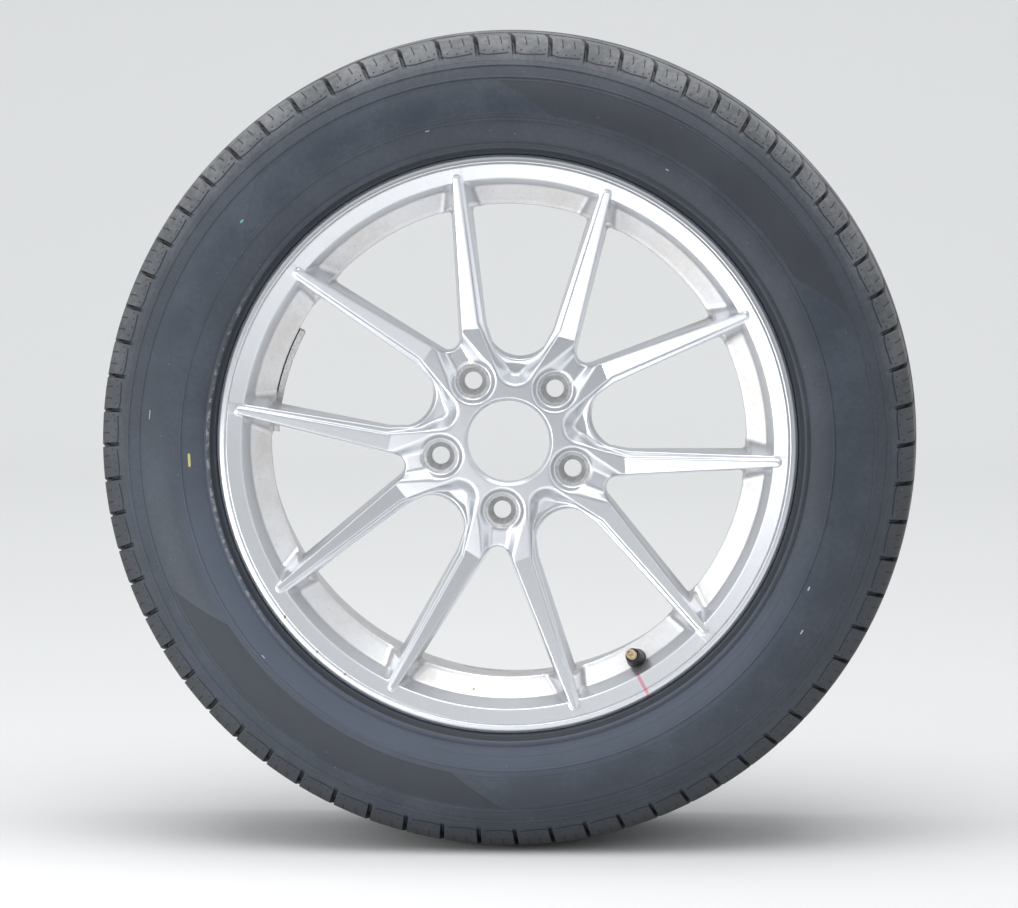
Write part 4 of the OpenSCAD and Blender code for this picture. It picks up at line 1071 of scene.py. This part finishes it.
# %% Sweep
def sweep(front=-6.0, back=3.0, bend=2.0, top=5.0, half=7.0, low=-0.3355, n=24):
    """A floor, a quarter of a circle and a wall: a profile in y and z, carried along x."""
    t = rad(np.linspace(-90, 0, n))
    turn = np.column_stack([back + bend * np.cos(t), low + bend + bend * np.sin(t)])
    side = np.vstack([[[front, low]], turn, [[back + bend, top]]])
    x = np.array([-half, half])
    along, (y, z) = np.repeat(x[:, None], len(side), 1), (np.tile(v, (2, 1)) for v in side.T)
    points = np.stack([along, y, z], axis=-1)
    mesh = bpy.data.meshes.new("sweep")
    mesh.from_pydata(points.reshape(-1, 3).tolist(), [], grid_faces(2, len(side), wrap_cols=False).tolist())
    mesh.shade_smooth()
    return shown("sweep", mesh)


backdrop = sweep()
paper, shader, place = material("sweep_paper", Roughness=0.9, Specular_IOR_Level=0.2)
# In reflections, and only there, the floor near the wheel is brighter and the floor towards the camera is darker
depth = split(place)[1]
mirrored = node(paper.node_tree, "LightPath").outputs["Is Glossy Ray"]
pale = mix(noise(place, 1.5, 2.0), grey(0.65), grey(0.675))
pale = mix(fade(depth, 0.6, 3.6), pale, grey(0.80))
pale = mix(times(mirrored, fade(depth, -1.8, -1.2)), pale, grey(0.82))
far = times(mirrored, fade(depth, -1.3, -2.4))
feed(shader, Base_Color=mix(times(far, 0.85), pale, grey(0.12, (0.85, 0.96, 1.15))))
backdrop.data.materials.append(paper)


# %% Light
def softbox(name, watts, size, place, tint=(1.0, 1.0, 1.0)):
    light = bpy.data.lights.new(name, "AREA")
    light.shape, light.energy, light.color = "RECTANGLE", watts, tint
    light.size, light.size_y = size
    lamp = shown(name, light)
    lamp.location = place
    lamp.visible_camera = False
    lamp.rotation_euler = (Vector((0, 0, 0)) - Vector(place)).to_track_quat("-Z", "Y").to_euler()


softbox("above", 84.0, (3.2, 2.4), (0.0, -0.6, 3.0))
softbox("left", 26.0, (1.6, 2.6), (-2.8, -1.6, 0.9), (0.97, 0.985, 1.0))
softbox("right", 8.0, (1.6, 2.6), (2.8, -1.6, 0.9), (0.97, 0.985, 1.0))
softbox("low", 1.8, (0.62, 0.2), (-0.40, -0.62, -0.20))

world = bpy.data.worlds.new("room")
world.use_nodes = True
tree = world.node_tree
_, ahead, up = split(node(tree, "TexCoord").outputs["Generated"])
dark = fade(times(ahead, -1.0), 0.88, 0.985, 0.0, 0.52)
level = minus(fade(up, -0.6, 0.9, 0.50, 0.85), dark)
sky = node(tree, "CombineColor", Red=times(level, 0.95), Green=times(level, 0.98), Blue=level)
link(sky.outputs[0], tree.nodes["Background"].inputs["Color"])
bpy.context.scene.world = world

# %% [markdown]
# The camera stands where the photograph was taken: 4 m away, 5.5 degrees above the axle and 2.1 degrees to
# its right.

# %% Camera
DISTANCE, ELEVATION, AZIMUTH = 4.0, rad(5.5), rad(2.1)
target = Vector((-0.0019, 0.0, -0.0164))
lens = bpy.data.cameras.new("camera")
lens.angle, lens.clip_end = float(rad(12.08)), 50.0
camera = shown("camera", lens)
toward = Vector((np.sin(AZIMUTH) * np.cos(ELEVATION), -np.cos(AZIMUTH) * np.cos(ELEVATION), np.sin(ELEVATION)))
camera.location = target + DISTANCE * toward
camera.rotation_euler = (-toward).to_track_quat("-Z", "Y").to_euler()
bpy.context.scene.camera = camera
bpy.context.scene.view_settings.view_transform = "Standard"
